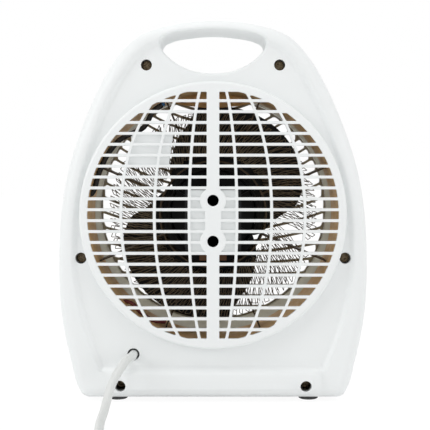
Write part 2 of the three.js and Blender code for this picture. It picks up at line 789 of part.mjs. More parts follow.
// Heating element: a mica tube round the motor with radial arms, and a zigzag wire on either side
function heaterFrame() {
  const tubeWall = sleeve(innerMicaRadius - micaThickness, innerMicaRadius, heaterStart, heaterEnd, 0, axisHeight,
    ductSides);
  const arm = block(innerMicaRadius - micaThickness / 2, ductRadius - 2 * fit, heaterStart, heaterEnd,
    -micaThickness / 2, micaThickness / 2);
  const arms = Array.from({ length: armCount }, (unused, k) =>
    arm.rotate([0, ((k + 0.5) / armCount) * 360, 0]).translate([0, 0, axisHeight]));
  return join(tubeWall, ...arms);
}

function zigzag(depth) {
  const legs = [];
  const step = THREE.MathUtils.degToRad(wireSpan) / wireLegs;
  const start = -THREE.MathUtils.degToRad(wireSpan) / 2;
  for (let leg = 0; leg < wireLegs; leg += 1) {
    const radii = leg % 2 ? [wireOuterRadius, wireInnerRadius] : [wireInnerRadius, wireOuterRadius];
    radii.forEach((radius, end) => {
      const turn = start + step * (leg + (end ? wireTurnShare : -wireTurnShare));
      legs.push(new THREE.Vector3(radius * Math.cos(turn), -depth, axisHeight + radius * Math.sin(turn)));
    });
  }
  return legs;
}

function heatingWire(depth) {
  const points = zigzag(depth);
  console.log('heating wire least gap', leastGap(points, wireRadius).gap.toFixed(2));
  return tube(points, wireRadius, 4, new THREE.Vector3(0, 1, 0));
}

// Motor
function motorBracket(start, end) {
  const sheet = cut(
    block(-bracketHalfWidth, bracketHalfWidth, 0, bracketThickness, -bracketBottom, bracketTop),
    rod(bearingRadius + fit, -overrun, overrun),
    ...[-1, 1].map((side) => rod(tieScrew.shank + fit, -overrun, overrun, side * pillarOffset, 0, screwSides)),
  );
  const pillars = [-1, 1].map((side) =>
    sleeve(tieScrew.shank + fit, pillarRadius, start, end, side * pillarOffset, 0));
  return join(sheet, ...pillars);
}

function rearBracket() {
  const bracket = motorBracket(bracketThickness - bite, stackDepth - rearBracketDepth - fit);
  return cut(bracket, ...mountSpots.map(({ height }) =>
    rod(mountScrew.shank + fit, -overrun, overrun, 0, height - axisHeight, screwSides)));
}

function frontBracket() {
  return motorBracket(stackDepth + stackLength + fit - frontBracketDepth, bite);
}

function motorStack() {
  return cut(
    block(-stackHalfWidth, stackHalfWidth, 0, stackLength, -stackBottom, stackTop),
    rod(rotorRadius + rotorGap, -overrun, stackLength + overrun, 0, 0, knobSides),
    block(-windowHalfWidth, windowHalfWidth, -overrun, stackLength + overrun, -windowBottom, -windowTop),
    ...[-1, 1].map((side) =>
      rod(tieScrew.shank + fit, -overrun, stackLength + overrun, side * pillarOffset, 0, screwSides)),
  );
}

function motorCoil() {
  const half = windowHalfWidth - fit;
  return cut(
    block(-half, half, -coilOverhang, stackLength + coilOverhang, -coilBottom, -windowTop - fit),
    block(-half - overrun, half + overrun, -fit, stackLength + fit, -stackBottom - fit, -windowBottom + fit),
  );
}

function motorRotor() {
  return sleeve(shaftRadius + fit, rotorRadius, 0, stackLength, 0, 0, knobSides);
}

function bearing() {
  return turned([
    [shaftRadius + fit, 0], [bearingRadius, 0], [bearingRadius, bearingLength - bearingFlange],
    [bearingFlangeRadius, bearingLength - bearingFlange], [bearingFlangeRadius, bearingLength],
    [shaftRadius + fit, bearingLength], [shaftRadius + fit, 0],
  ], rodSides);
}

// Screws: the head's underside at depth zero, with a cross recess
function plainScrew({ head, headHeight, shank, length }) {
  return turned([[0, -headHeight], [head, -headHeight], [head, 0], [shank, 0], [shank, length], [0, length]], screwSides);
}

function crossScrew(sizes) {
  const { head, headHeight, slot, slotDepth } = sizes;
  const reach = (head * 2) / 3;
  return cut(plainScrew(sizes),
    block(-reach, reach, -headHeight - overrun, slotDepth - headHeight, -slot / 2, slot / 2),
    block(-slot / 2, slot / 2, -headHeight - overrun, slotDepth - headHeight, -reach, reach));
}

// Fan: a cup on a hub with two broad blades; angles run as seen from behind
function edgeAngle(angles, share) {
  const after = Math.max(1, bladeReachShares.findIndex((reach) => reach >= share));
  return THREE.MathUtils.mapLinear(share, bladeReachShares[after - 1], bladeReachShares[after], angles[after - 1],
    angles[after]);
}

function bladeRing(share) {
  const root = fanCupRadius - fanWall / 2;
  const radius = root + share * (fanRadius - root);
  const point = (column, depth) => {
    const angle = THREE.MathUtils.degToRad(THREE.MathUtils.lerp(
      edgeAngle(frontEdgeAngles, share), edgeAngle(rearEdgeAngles, share), column));
    return new THREE.Vector3(-radius * Math.cos(angle), -depth, radius * Math.sin(angle));
  };
  const sweep = fanLength - bladeThickness - 2 * fit;
  const columns = Array.from({ length: bladeColumns + 1 }, (unused, k) => k / bladeColumns);
  const near = columns.map((column) => point(column, fit + sweep * (1 - column)));
  const far = columns.map((column) => point(column, fit + sweep * (1 - column) + bladeThickness));
  return [...near, ...far.reverse()];
}

function fan() {
  const cup = turned([
    [shaftRadius + fit, 0], [fanHubRadius, 0], [fanHubRadius, fanLength / 2], [fanCupRadius - fanWall, fanLength / 2],
    [fanCupRadius - fanWall, 0], [fanCupRadius, 0], [fanCupRadius, fanLength], [fanCupRadius - fanWall, fanLength],
    [fanCupRadius - fanWall, fanLength / 2 + fanWall], [fanHubRadius, fanLength / 2 + fanWall],
    [fanHubRadius, fanLength], [shaftRadius + fit, fanLength], [shaftRadius + fit, 0],
  ], knobSides);
  const blade = skin(Array.from({ length: bladeRows + 1 }, (unused, k) => bladeRing(k / bladeRows)));
  return join(cup, blade, blade.rotate([0, 180, 0]));
}

function fanCollar() {
  return sleeve(shaftRadius + fit, collarRadius, 0, collarLength);
}

// Sensor and leads
function polar(angle, radius, depth) {
  const turn = THREE.MathUtils.degToRad(angle);
  return [radius * Math.cos(turn), depth, axisHeight + radius * Math.sin(turn)];
}

function thermalCutout() {
  const cap = rod(cutoutRadius, cutoutStem, cutoutStem + cutoutThickness, 0, 0, rodSides);
  return join(cap, rod(cutoutStem, 0, cutoutStem + bite, 0, 0, screwSides));
}

function sensorLoom() {
  const outside = ductRadius + linerThickness + fit + skirtWall + 2 * overrun;
  const inset = (ductRadius - loomTrack) * 2;
  return lead([
    polar(loomAngle, outside, loomDepth),
    polar(loomAngle, ductRadius + overrun, loomDepth),
    polar(loomAngle, ductRadius, loomDepth),
    polar(loomAngle + loomBendAngle, loomTrack, loomDepth),
    polar(THREE.MathUtils.lerp(loomAngle, loomEndAngle, 0.4), loomTrack - inset / 4, loomDepth),
    polar(THREE.MathUtils.lerp(loomAngle, loomEndAngle, 0.7), loomTrack - inset / 4, loomDepth),
    polar(loomEndAngle, loomTrack - inset / 3, loomDepth),
    polar(THREE.MathUtils.lerp(loomEndAngle, sleeveAngle, 0.5), loomTrack, loomDepth),
    polar(sleeveAngle, loomTrack, loomDepth),
  ], loomRadius, sectionSides, leadSteps * 2);
}

function crimpSleeve() {
  const reach = THREE.MathUtils.radToDeg(sleeveLength / loomTrack);
  const start = sleeveAngle + THREE.MathUtils.radToDeg(fit / loomTrack);
  return lead([0, 0.5, 1].map((share) => polar(start + share * reach, loomTrack, loomDepth)),
    loomRadius, sectionSides, 4);
}

const selectorRear = controlBodyFront - selectorBody.length;
const thermostatRear = controlBodyFront - thermostatBody.length;

function redLead() {
  const outside = ductRadius + ductWall + 3 * overrun;
  return lead([
    [selectorPlace + selectorBody.halfWidth / 2, selectorRear - fit, controlHeight + selectorBody.halfHeight / 2],
    [selectorPlace + selectorBody.halfWidth / 2, selectorRear - 2 * overrun, controlHeight + overrun],
    ...redLeadShares.map((share, bend) => polar(redLeadAngle - redLeadSwing * (redLeadShares.length - bend), outside,
      THREE.MathUtils.lerp(redLeadDepth, selectorRear, share))),
    polar(redLeadAngle, ductRadius + 2 * overrun, redLeadDepth),
    polar(redLeadAngle, ductRadius - overrun, redLeadDepth),
    polar(redLeadAngle - redLeadSwing, ductRadius - 2 * overrun, redLeadDepth),
  ], leadRadius, sectionSides, leadSteps);
}

function blockLead(side, target) {
  const x = cordX + (side * blockHalfWidth) / 2;
  const height = shelfTop + fit + blockRise / 2;
  return lead([
    [x, blockEnd + fit, height],
    [x, blockEnd + 2 * overrun, height],
    [THREE.MathUtils.lerp(x, target.x, 0.5), (blockEnd + target.depth) / 2, (height + target.height) / 2],
    [target.x, target.depth - 2 * overrun, target.height],
    [target.x, target.depth - fit, target.height],
  ], leadRadius, sectionSides, leadSteps);
}

// Controls: the front of the switch body at depth zero
function controlBody({ halfWidth: across, halfHeight, length }) {
  return cut(
    join(block(-across, across, -length, 0, -halfHeight, halfHeight),
      rod(bushRadius, -bite, bushEnd - controlBodyFront)),
    rod(spindleRadius + fit, spindleStart - controlBodyFront - fit, bushEnd - controlBodyFront + overrun),
  );
}

function controlNut() {
  return cut(rod(nutRadius, 0, nutThickness, 0, 0, sectionSides), rod(bushRadius + fit, -overrun, overrun));
}

function controlSpindle() {
  const flat = block(-spindleRadius, spindleRadius, knobHubStart - spindleStart, spindleEnd - spindleStart + overrun,
    spindleRadius / 2, spindleRadius + overrun);
  return cut(rod(spindleRadius, 0, spindleEnd - spindleStart), flat);
}

function knob() {
  const start = frontDepth + 2 * fit;
  const length = knobEnd - start;
  const hubStart = knobHubStart - start;
  const cap = turned([
    [0, hubStart], [knobHubRadius, hubStart], [knobHubRadius, length - knobFace],
    [knobRadius - 2 * knobWall, length - knobFace], [knobRadius - knobWall, 0], [knobRadius, 0],
    [knobRadius - knobWall / 2, length - knobWall], [knobRadius - knobWall, length - knobGripHeight],
    [0, length - knobGripHeight],
  ], knobSides);
  const grip = block(-knobGripWidth / 2, knobGripWidth / 2, length - knobGripHeight - knobWall, length,
    -knobRadius + knobWall, knobRadius - knobWall);
  const bore = cut(
    rod(spindleRadius + fit, -overrun, spindleEnd - start + fit),
    block(-knobRadius, knobRadius, -overrun, length, spindleRadius / 2 + fit, knobRadius),
  );
  return cut(join(cap, grip), bore);
}

function indicatorLens() {
  return join(
    rod(lensFlange, -lensFlangeThickness - fit, -fit, 0, 0, rodSides),
    rod(lensRadius, -fit - bite, wall + lensReach, 0, 0, rodSides),
  );
}

// Feet: each reaches up to the underside, which rises from the seam to the rounded front edge
function footTop(depth) {
  const rearEdge = depth - footRadius;
  const slopeEnd = frontAt(footHeight) - frontRound;
  const share = (rearEdge - seamDepth) / (slopeEnd - seamDepth);
  return share > 0 ? footHeight + share * frontDraft - fit : footHeight;
}

// Plug: a flat-sided body with a tapered tail along +X, pins along -X
function plugBody() {
  const section = (halfAcross, halfTall, x, height) => Array.from({ length: rodSides }, (unused, k) => {
    const angle = ((k + 0.5) / rodSides) * 2 * Math.PI;
    const [c, s] = [Math.cos(angle), Math.sin(angle)];
    const flatten = 1 / Math.max(Math.abs(c) ** 4 + Math.abs(s) ** 4, 0.5) ** 0.25;
    return new THREE.Vector3(x, halfAcross * c * flatten, height + halfTall * s * flatten);
  });
  const middle = plugHeight / 2;
  return skin([
    section(plugWidth / 2, middle, 0, middle),
    section(plugWidth / 2, middle, plugLength * 0.6, middle),
    section(plugWidth / 3, middle * 0.8, plugLength, middle),
    section(plugTailRadius * 1.3, plugTailRadius * 1.3, plugLength * 1.25, middle),
    section(plugTailRadius, plugTailRadius, plugLength + plugTail, middle),
  ]);
}

function plugPin() {
  const geometry = new THREE.CylinderGeometry(pinRadius, pinRadius, pinLength, screwSides);
  geometry.rotateZ(Math.PI / 2);
  return solid(geometry);
}

// Free cord
function cord() {
  return lead(cordRoute, cordRadius, cordSides, cordSteps);
}

const [coilEntryX, coilEntryDepth, coilFloor] = cordRoute[cordRoute.length - 1];
const coilX = coilEntryX - coilOuterRadius;
const plugTailHeight = plugHeight / 2;

// Loops that spiral in along the floor, climb a layer in half a turn, and spiral out again on top
function coilPoints() {
  const steps = Math.round(coilTurns * coilStepsPerTurn);
  const half = coilTurns / 2;
  const points = [];
  for (let i = 0; i <= steps; i += 1) {
    const turns = (i / steps) * coilTurns;
    const inward = 1 - Math.abs(turns - half) / half;
    const radius = coilOuterRadius + (coilInnerRadius - coilOuterRadius) * inward;
    const climb = THREE.MathUtils.smoothstep(turns, half - 0.25, half + 0.25) * coilLayerRise;
    const lift = THREE.MathUtils.smoothstep(turns, coilTurns - 0.7, coilTurns) *
      (plugTailHeight - coilFloor - coilLayerRise);
    const angle = turns * 2 * Math.PI;
    points.push(new THREE.Vector3(coilX + radius * Math.cos(angle), -coilCentreDepth + radius * Math.sin(angle),
      coilFloor + climb + lift));
  }
  const straight = 2 * cordRadius;
  const first = points[0].clone();
  const last = points[points.length - 1].clone();
  points.unshift(new THREE.Vector3(first.x, first.y + coilCentreDepth - coilEntryDepth, first.z));
  points.push(new THREE.Vector3(last.x - straight, last.y, last.z));
  points[0].y = -coilEntryDepth + fit;
  return points;
}

const coilRoute = coilPoints();
const coilEnd = coilRoute[coilRoute.length - 1];

function cordCoil() {
  const { gap, length } = leastGap(coilRoute, cordRadius);
  console.log('cord coil least gap', gap.toFixed(2), 'length', length.toFixed(0));
  return tube(coilRoute, cordRadius, sectionSides, new THREE.Vector3(0, 0, 1));
}

// Assembly, shifted so that the origin lies below the middle of the box of the heater without its cord
const heater = new THREE.Group();
heater.name = 'fan_heater';
heater.position.y = (knobEnd - Math.max(ringHeight, rollReach)) / 2;

function place(name, shape, finish, x = 0, depth = 0, height = 0) {
  const mesh = new THREE.Mesh(geometryOf(shape), finish());
  mesh.name = name;
  mesh.position.set(x, -depth, height);
  heater.add(mesh);
  return mesh;
}

place('rear_cover', rearCover(), whitePlastic);
place('front_shell', frontShell(), whitePlastic);
place('front_grille', frontGrille(), whitePlastic);
place('duct_liner', ductLiner(), tanMica);
place('heater_frame', heaterFrame(), brownMica);
place('heating_wire_rear', heatingWire(heaterStart - wireRadius - fit), nichrome);
place('heating_wire_front', heatingWire(heaterEnd + wireRadius + fit), nichrome);

place('motor_stack', motorStack(), laminations, 0, stackDepth, axisHeight);
place('motor_coil', motorCoil(), copper, 0, stackDepth, axisHeight);
place('motor_bracket_rear', rearBracket(), steel, 0, rearBracketDepth, axisHeight);
place('motor_bracket_front', frontBracket(), steel, 0, frontBracketDepth, axisHeight);
place('bearing_rear', bearing().rotate([0, 0, 0]), brass, 0, rearBracketDepth + bracketThickness + fit
  + bearingFlange - bearingLength, axisHeight);
place('bearing_front', bearing().rotate([180, 0, 0]), brass, 0, frontBracketDepth - fit - bearingFlange
  + bearingLength, axisHeight);
place('motor_rotor', motorRotor(), steel, 0, stackDepth, axisHeight);
place('motor_shaft', rod(shaftRadius, 0, shaftEnd - shaftStart), steel, 0, shaftStart, axisHeight);
[-1, 1].forEach((side) => {
  const name = side > 0 ? 'tie_screw_left' : 'tie_screw_right';
  place(name, plainScrew(tieScrew).rotate([180, 0, 0]), steel, side * pillarOffset, frontBracketDepth + bracketThickness
    + fit, axisHeight);
});
mountSpots.forEach(({ name, height }) => {
  place(name, crossScrew(mountScrew), steel, 0, mountSeatDepth - fit, height);
});

place('fan', fan(), blackPlastic, 0, fanStart, axisHeight);
place('fan_collar', fanCollar(), steel, 0, fanStart + fanLength + fit, axisHeight);

caseScrewSpots.forEach(({ name, x, height }) => {
  place(name, crossScrew(caseScrew), bronze, x, screwSeatDepth - fit, height);
});

const [cutoutAcross, cutoutUp] = cutoutShares;
place('thermal_cutout', thermalCutout(), blackPlastic,
  THREE.MathUtils.lerp(sensorPlateLeft, sensorPlateRight, cutoutAcross), slabFront + plateThickness + fit,
  axisHeight + THREE.MathUtils.lerp(sensorPlateBottom, sensorPlateTop, cutoutUp));
place('sensor_loom', sensorLoom(), blackPlastic);
place('crimp_sleeve', crimpSleeve(), blueInsulation);
place('element_lead', redLead(), redInsulation);
place('cord_clamp', cordClamp(), whitePlastic);
clampScrewSpots().forEach(({ name, x, depth }) => {
  place(name, plainScrew(clampScrew).rotate([90, 0, 0]), steel, x, depth, clampBottom + clampHeight + fit);
});
place('terminal_block', terminalBlock(), ceramic);
place('live_lead', blockLead(1, { x: selectorPlace, depth: selectorRear, height: controlHeight }), redInsulation);
place('neutral_lead', blockLead(-1, { x: thermostatPlace, depth: thermostatRear, height: controlHeight }),
  blueInsulation);

[
  { kind: 'thermostat', x: thermostatPlace, body: thermostatBody },
  { kind: 'selector', x: selectorPlace, body: selectorBody },
].forEach(({ kind, x, body }) => {
  place(`${kind}_body`, controlBody(body), ceramic, x, controlBodyFront, controlHeight);
  place(`${kind}_nut`, controlNut(), brass, x, frontDepth + fit, controlHeight);
  place(`${kind}_spindle`, controlSpindle(), steel, x, spindleStart, controlHeight);
  place(`${kind}_knob`, knob(), blackPlastic, x, frontDepth + 2 * fit, controlHeight);
});
place('indicator_lens', indicatorLens(), redLens, 0, frontDepth - wall, controlHeight);
place('indicator_lamp', rod(lampRadius, 0, lampLength), ceramic, 0,
  frontDepth - wall - lensFlangeThickness - 2 * fit - lampLength, controlHeight);

footShares.forEach(([across, along], row) => {
  [1, -1].forEach((side) => {
    const name = `foot_${row ? 'front' : 'rear'}_${side > 0 ? 'left' : 'right'}`;
    const depth = along * frontDepth;
    place(name, post(footRadius, 0, footTop(depth)), greyRubber, side * across * halfWidth, depth, 0);
  });
});

place('cord', cord(), cordWhite);
place('cord_coil', cordCoil(), cordWhite);
place('plug_body', plugBody(), cordWhite, coilEnd.x - fit - plugLength - plugTail, -coilEnd.y, 0);
[1, -1].forEach((side) => {
  place(`plug_pin_${side > 0 ? 'outer' : 'inner'}`, plugPin(), brass,
    coilEnd.x - 2 * fit - plugLength - plugTail - pinLength / 2, -coilEnd.y - side * pinOffset, plugHeight / 2);
});

export default heater;
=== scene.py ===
import math

import bpy
import numpy as np
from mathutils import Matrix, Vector
from mathutils.geometry import delaunay_2d_cdt


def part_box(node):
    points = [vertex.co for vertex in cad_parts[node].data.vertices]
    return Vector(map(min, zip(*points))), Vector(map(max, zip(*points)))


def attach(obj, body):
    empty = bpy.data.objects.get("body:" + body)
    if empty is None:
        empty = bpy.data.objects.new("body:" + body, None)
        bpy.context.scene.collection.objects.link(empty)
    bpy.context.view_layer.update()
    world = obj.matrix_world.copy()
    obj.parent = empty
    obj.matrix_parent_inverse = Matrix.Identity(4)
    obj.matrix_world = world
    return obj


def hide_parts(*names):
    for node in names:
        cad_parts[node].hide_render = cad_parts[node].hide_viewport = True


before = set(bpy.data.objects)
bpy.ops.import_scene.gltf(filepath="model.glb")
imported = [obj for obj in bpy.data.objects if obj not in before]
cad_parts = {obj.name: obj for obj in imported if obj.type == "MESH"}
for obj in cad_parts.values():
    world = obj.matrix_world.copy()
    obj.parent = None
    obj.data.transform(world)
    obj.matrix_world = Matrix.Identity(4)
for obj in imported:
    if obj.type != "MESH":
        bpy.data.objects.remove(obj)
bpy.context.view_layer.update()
bpy.context.scene.view_settings.view_transform = "Standard"

# Sizes in millimetres. Depth runs forward from the crest of the rear rim, whose plane is at y = REAR.
REAR = 56.5
AXIS = 131.9
DUCT = 88.0
FOOT = 2.0
HALF_WIDTH = 110.0
HEIGHT = 268.6
SEAM = 24.0
PANEL = 3.0
WALL = 2.5


# Camera at the photograph's angle: level and straight on to the rear, a little above the axis
FOCAL_PIXELS, PICTURE_PIXELS, SENSOR = 1000, 430, 36
CAMERA_AWAY, CAMERA_ABOVE, CAMERA_ASIDE = 700.0, 30.0, 1.4


def make_camera():
    """The focal length is its pixels over the picture's, times the sensor's width. The shift brings the axis to the
    middle of the picture: height above it over distance, times focal length over sensor width."""
    lens = bpy.data.cameras.new("camera")
    lens.sensor_width = SENSOR
    lens.lens = SENSOR * FOCAL_PIXELS / PICTURE_PIXELS
    camera = bpy.data.objects.new("camera", lens)
    camera.location = (-CAMERA_ASIDE / 1000, (REAR + CAMERA_AWAY) / 1000, (AXIS + CAMERA_ABOVE) / 1000)
    camera.rotation_euler = (math.pi / 2, 0, math.pi)
    lens.shift_y = -CAMERA_ABOVE / CAMERA_AWAY * lens.lens / lens.sensor_width
    bpy.context.collection.objects.link(camera)
    bpy.context.scene.camera = camera


make_camera()


# Shader groups: each gives colours, masks, values and heights that change over the surface
def new_group(name, inputs, outputs):
    """An empty node group with float inputs {name: default} and typed outputs {name: kind}."""
    tree = bpy.data.node_groups.new(name, "ShaderNodeTree")
    for key, value in inputs.items():
        kind = "NodeSocketColor" if isinstance(value, tuple) else "NodeSocketFloat"
        tree.interface.new_socket(key, in_out="INPUT", socket_type=kind).default_value = value
    for key, kind in outputs.items():
        tree.interface.new_socket(key, in_out="OUTPUT", socket_type=f"NodeSocket{kind}")
    return tree, tree.nodes.new("NodeGroupInput").outputs, tree.nodes.new("NodeGroupOutput").inputs


def add(tree, kind, sockets=None, **settings):
    """A node of that kind, its settings made and its sockets filled by values or by links."""
    node = tree.nodes.new(f"ShaderNode{kind}")
    for key, value in settings.items():
        setattr(node, key, value)
    for key, value in (sockets or {}).items():
        if isinstance(value, bpy.types.NodeSocket):
            tree.links.new(value, node.inputs[key])
        else:
            node.inputs[key].default_value = value
    return node


def maths(tree, operation, a, b=0.0):
    """A Math node's value from two values or links."""
    return add(tree, "Math", {0: a, 1: b}, operation=operation).outputs[0]


def object_place(tree, stretch=(1, 1, 1), turn=(0, 0, 0)):
    """Object coordinates in metres, stretched and turned."""
    place = add(tree, "TexCoord").outputs["Object"]
    return add(tree, "Mapping", {"Vector": place, "Scale": stretch, "Rotation": turn}).outputs[0]


def noise(tree, place, scale, detail=2.0, rough=0.5):
    """A Noise Texture's value at a place."""
    sockets = {"Vector": place, "Scale": scale, "Detail": detail, "Roughness": rough}
    return add(tree, "TexNoise", sockets).outputs[0]


def spread(tree, value, low, high):
    """Moves a noise value, mostly from 0.3 to 0.7, on to the range low to high."""
    sockets = {"Value": value, "From Min": 0.3, "From Max": 0.7, "To Min": low, "To Max": high}
    return add(tree, "MapRange", sockets).outputs[0]


def tinted(tree, colour, shade):
    """The colour times a grey shade."""
    mix = add(tree, "Mix", data_type="RGBA", blend_type="MULTIPLY")
    mix.inputs[0].default_value = 1.0
    tree.links.new(colour, mix.inputs[6])
    grey = add(tree, "CombineColor")
    for channel in grey.inputs:
        tree.links.new(shade, channel)
    tree.links.new(grey.outputs[0], mix.inputs[7])
    return mix.outputs[2]


def blended(tree, factor, first, second):
    """The second colour over the first, by the factor."""
    mix = add(tree, "Mix", data_type="RGBA")
    for index, value in ((0, factor), (6, first), (7, second)):
        if isinstance(value, bpy.types.NodeSocket):
            tree.links.new(value, mix.inputs[index])
        else:
            mix.inputs[index].default_value = value
    return mix.outputs[2]


def moulded_group():
    """Moulded plastic: fine spark grain, a slow unevenness of flow, dust that settles on upward faces, and painted
    shade on the faces that look back into the duct: a browner, darker colour for their shade and warm reflection."""
    inputs = {"Colour": (1, 1, 1, 1), "Dust": (1, 1, 1, 1), "Browned": (1, 1, 1, 1), "Roughness": 0.4, "Grain": 900.0,
              "Dusting": 0.2, "Browning": 0.0}
    outputs = {"Colour": "Color", "Roughness": "Float", "Height": "Float"}
    tree, given, out = new_group("moulded surface", inputs, outputs)
    place = object_place(tree)
    grain = noise(tree, place, given["Grain"], 3.0, 0.6)
    flow = noise(tree, place, 9.0, 3.0)
    smear = noise(tree, object_place(tree, (40, 40, 6)), 3.0, 4.0, 0.65)
    shaded = tinted(tree, given["Colour"], spread(tree, flow, 0.985, 1.0))
    normal = add(tree, "SeparateXYZ", {0: add(tree, "NewGeometry").outputs["Normal"]}).outputs
    upward = maths(tree, "POWER", maths(tree, "MAXIMUM", normal[2], 0.0), 3.0)
    # Painted shade: faces that look back (+y) take a darker, browner colour for shade and warm reflection
    backward = maths(tree, "MULTIPLY", maths(tree, "MAXIMUM", normal[1], 0.0), given["Browning"])
    dusty = maths(tree, "MULTIPLY", upward, given["Dusting"])
    settled = maths(tree, "MULTIPLY", dusty, spread(tree, smear, 0.2, 1.0))
    dusted = blended(tree, settled, shaded, given["Dust"])
    # The painted shade colour goes over the dusted colour on faces that look back
    tree.links.new(blended(tree, backward, dusted, given["Browned"]), out["Colour"])
    sheen = maths(tree, "ADD", given["Roughness"], spread(tree, smear, -0.03, 0.05))
    tree.links.new(maths(tree, "ADD", sheen, maths(tree, "MULTIPLY", settled, 0.3)), out["Roughness"])
    tree.links.new(maths(tree, "ADD", grain, maths(tree, "MULTIPLY", flow, 2.0)), out["Height"])
    return tree


def metal_group():
    """Drawn or plated metal: long fine scratches across one axis, and slow tarnish between two colours."""
    inputs = {"Colour": (1, 1, 1, 1), "Tarnish": (1, 1, 1, 1), "Roughness": 0.3, "Tarnishing": 0.4, "Scratches": 1.0}
    outputs = {"Colour": "Color", "Roughness": "Float", "Height": "Float"}
    tree, given, out = new_group("plated metal", inputs, outputs)
    scratch = noise(tree, object_place(tree, (1, 30, 1)), 420.0, 4.0, 0.7)
    stain = noise(tree, object_place(tree), 130.0, 5.0, 0.7)
    share = maths(tree, "MULTIPLY", spread(tree, stain, 0.0, 1.0), given["Tarnishing"])
    tree.links.new(blended(tree, share, given["Colour"], given["Tarnish"]), out["Colour"])
    rough = maths(tree, "ADD", given["Roughness"], spread(tree, scratch, -0.06, 0.12))
    tree.links.new(maths(tree, "ADD", rough, maths(tree, "MULTIPLY", share, 0.25)), out["Roughness"])
    tree.links.new(maths(tree, "MULTIPLY", scratch, given["Scratches"]), out["Height"])
    return tree


def mica_group():
    """Pressed mica: overlapping flakes of slightly different tone, with fine glinting edges."""
    inputs = {"Colour": (1, 1, 1, 1), "Flake": (1, 1, 1, 1), "Scale": 260.0, "Roughness": 0.6}
    outputs = {"Colour": "Color", "Roughness": "Float", "Height": "Float"}
    tree, given, out = new_group("pressed mica", inputs, outputs)
    place = object_place(tree)
    flakes = add(tree, "TexVoronoi", {"Vector": place, "Scale": given["Scale"]})
    tone = add(tree, "SeparateColor", {0: flakes.outputs["Color"]}).outputs[0]
    cloud = noise(tree, place, 45.0, 4.0, 0.6)
    share = maths(tree, "ADD", maths(tree, "MULTIPLY", tone, 0.45), spread(tree, cloud, 0.0, 0.5))
    tree.links.new(blended(tree, share, given["Colour"], given["Flake"]), out["Colour"])
    rough = maths(tree, "ADD", given["Roughness"], maths(tree, "MULTIPLY", tone, -0.25))
    tree.links.new(rough, out["Roughness"])
    tree.links.new(flakes.outputs["Distance"], out["Height"])
    return tree


def layered_group():
    """Stacked sheets or wound wire: fine ridges across one axis, each a little lighter or darker."""
    inputs = {"Colour": (1, 1, 1, 1), "Gap": (0, 0, 0, 1), "Pitch": 1.0, "Roughness": 0.5}
    outputs = {"Colour": "Color", "Roughness": "Float", "Height": "Float"}
    tree, given, out = new_group("layered edges", inputs, outputs)
    along = add(tree, "SeparateXYZ", {0: object_place(tree)}).outputs[1]
    phase = maths(tree, "MULTIPLY", along, maths(tree, "DIVIDE", math.tau * 1000, given["Pitch"]))
    ridge = maths(tree, "ADD", maths(tree, "MULTIPLY", maths(tree, "SINE", phase), 0.5), 0.5)
    varnish = noise(tree, object_place(tree), 180.0, 4.0, 0.6)
    gap = maths(tree, "POWER", maths(tree, "SUBTRACT", 1.0, ridge), 4.0)
    shaded = tinted(tree, given["Colour"], spread(tree, varnish, 0.7, 1.1))
    tree.links.new(blended(tree, gap, shaded, given["Gap"]), out["Colour"])
    rough = maths(tree, "ADD", given["Roughness"], spread(tree, varnish, -0.1, 0.15))
    tree.links.new(rough, out["Roughness"])
    tree.links.new(ridge, out["Height"])
    return tree


def oxide_group():
    """Heated wire: patches of brown and grey oxide that follow the distance along the wire."""
    inputs = {"Colour": (1, 1, 1, 1), "Oxide": (1, 1, 1, 1), "Roughness": 0.4}
    outputs = {"Colour": "Color", "Roughness": "Float", "Height": "Float"}
    tree, given, out = new_group("oxidised wire", inputs, outputs)
    place = object_place(tree)
    bloom = noise(tree, place, 34.0, 3.0, 0.6)
    scale = noise(tree, place, 800.0, 3.0, 0.6)
    share = spread(tree, bloom, 0.1, 0.9)
    tree.links.new(blended(tree, share, given["Colour"], given["Oxide"]), out["Colour"])
    tree.links.new(maths(tree, "ADD", given["Roughness"], spread(tree, scale, -0.1, 0.2)), out["Roughness"])
    tree.links.new(scale, out["Height"])
    return tree


GROUPS = {
    "moulded": moulded_group(),
    "metal": metal_group(),
    "mica": mica_group(),
    "layered": layered_group(),
    "oxide": oxide_group(),
}


def finish_of(name, group, values, bump=(0.1, 0.0001), shader=None):
    """A material: one group's colour, roughness and height into a Principled shader."""
    material = bpy.data.materials.new(name)
    material.use_nodes = True
    tree = material.node_tree
    surface = tree.nodes["Principled BSDF"]
    for key, value in (shader or {}).items():
        surface.inputs[key].default_value = value
    pattern = tree.nodes.new("ShaderNodeGroup")
    pattern.node_tree = GROUPS[group]
    for key, value in values.items():
        pattern.inputs[key].default_value = (*value, 1) if isinstance(value, tuple) else value
    relief = add(tree, "Bump", {"Height": pattern.outputs["Height"], "Strength": bump[0], "Distance": bump[1]})
    tree.links.new(pattern.outputs["Colour"], surface.inputs["Base Color"])
    tree.links.new(pattern.outputs["Roughness"], surface.inputs["Roughness"])
    tree.links.new(relief.outputs[0], surface.inputs["Normal"])
    return material


def plastic(name, colour, dust, roughness=0.4, grain=900.0, dusting=0.2, bump=(0.08, 0.0001), painted_shade=None,
            **shader):
    """Moulded plastic of one colour, with the dust that settles on it, and painted shade on back faces if given."""
    values = {"Colour": colour, "Dust": dust, "Roughness": roughness, "Grain": grain, "Dusting": dusting}
    if painted_shade:
        values.update(Browned=painted_shade, Browning=1.0)
    return finish_of(name, "moulded", values, bump, shader)


def metal(name, colour, tarnish, roughness=0.3, tarnishing=0.4, scratches=1.0):
    """Bright metal with its tarnish."""
    values = {"Colour": colour, "Tarnish": tarnish, "Roughness": roughness, "Tarnishing": tarnishing,
              "Scratches": scratches}
    return finish_of(name, "metal", values, (0.15, 0.00005), {"Metallic": 1.0})


def mica(name, colour, flake, roughness):
    """Pressed mica of two tones."""
    values = {"Colour": colour, "Flake": flake, "Roughness": roughness}
    return finish_of(name, "mica", values, (0.25, 0.0001), {"Specular IOR Level": 0.25})


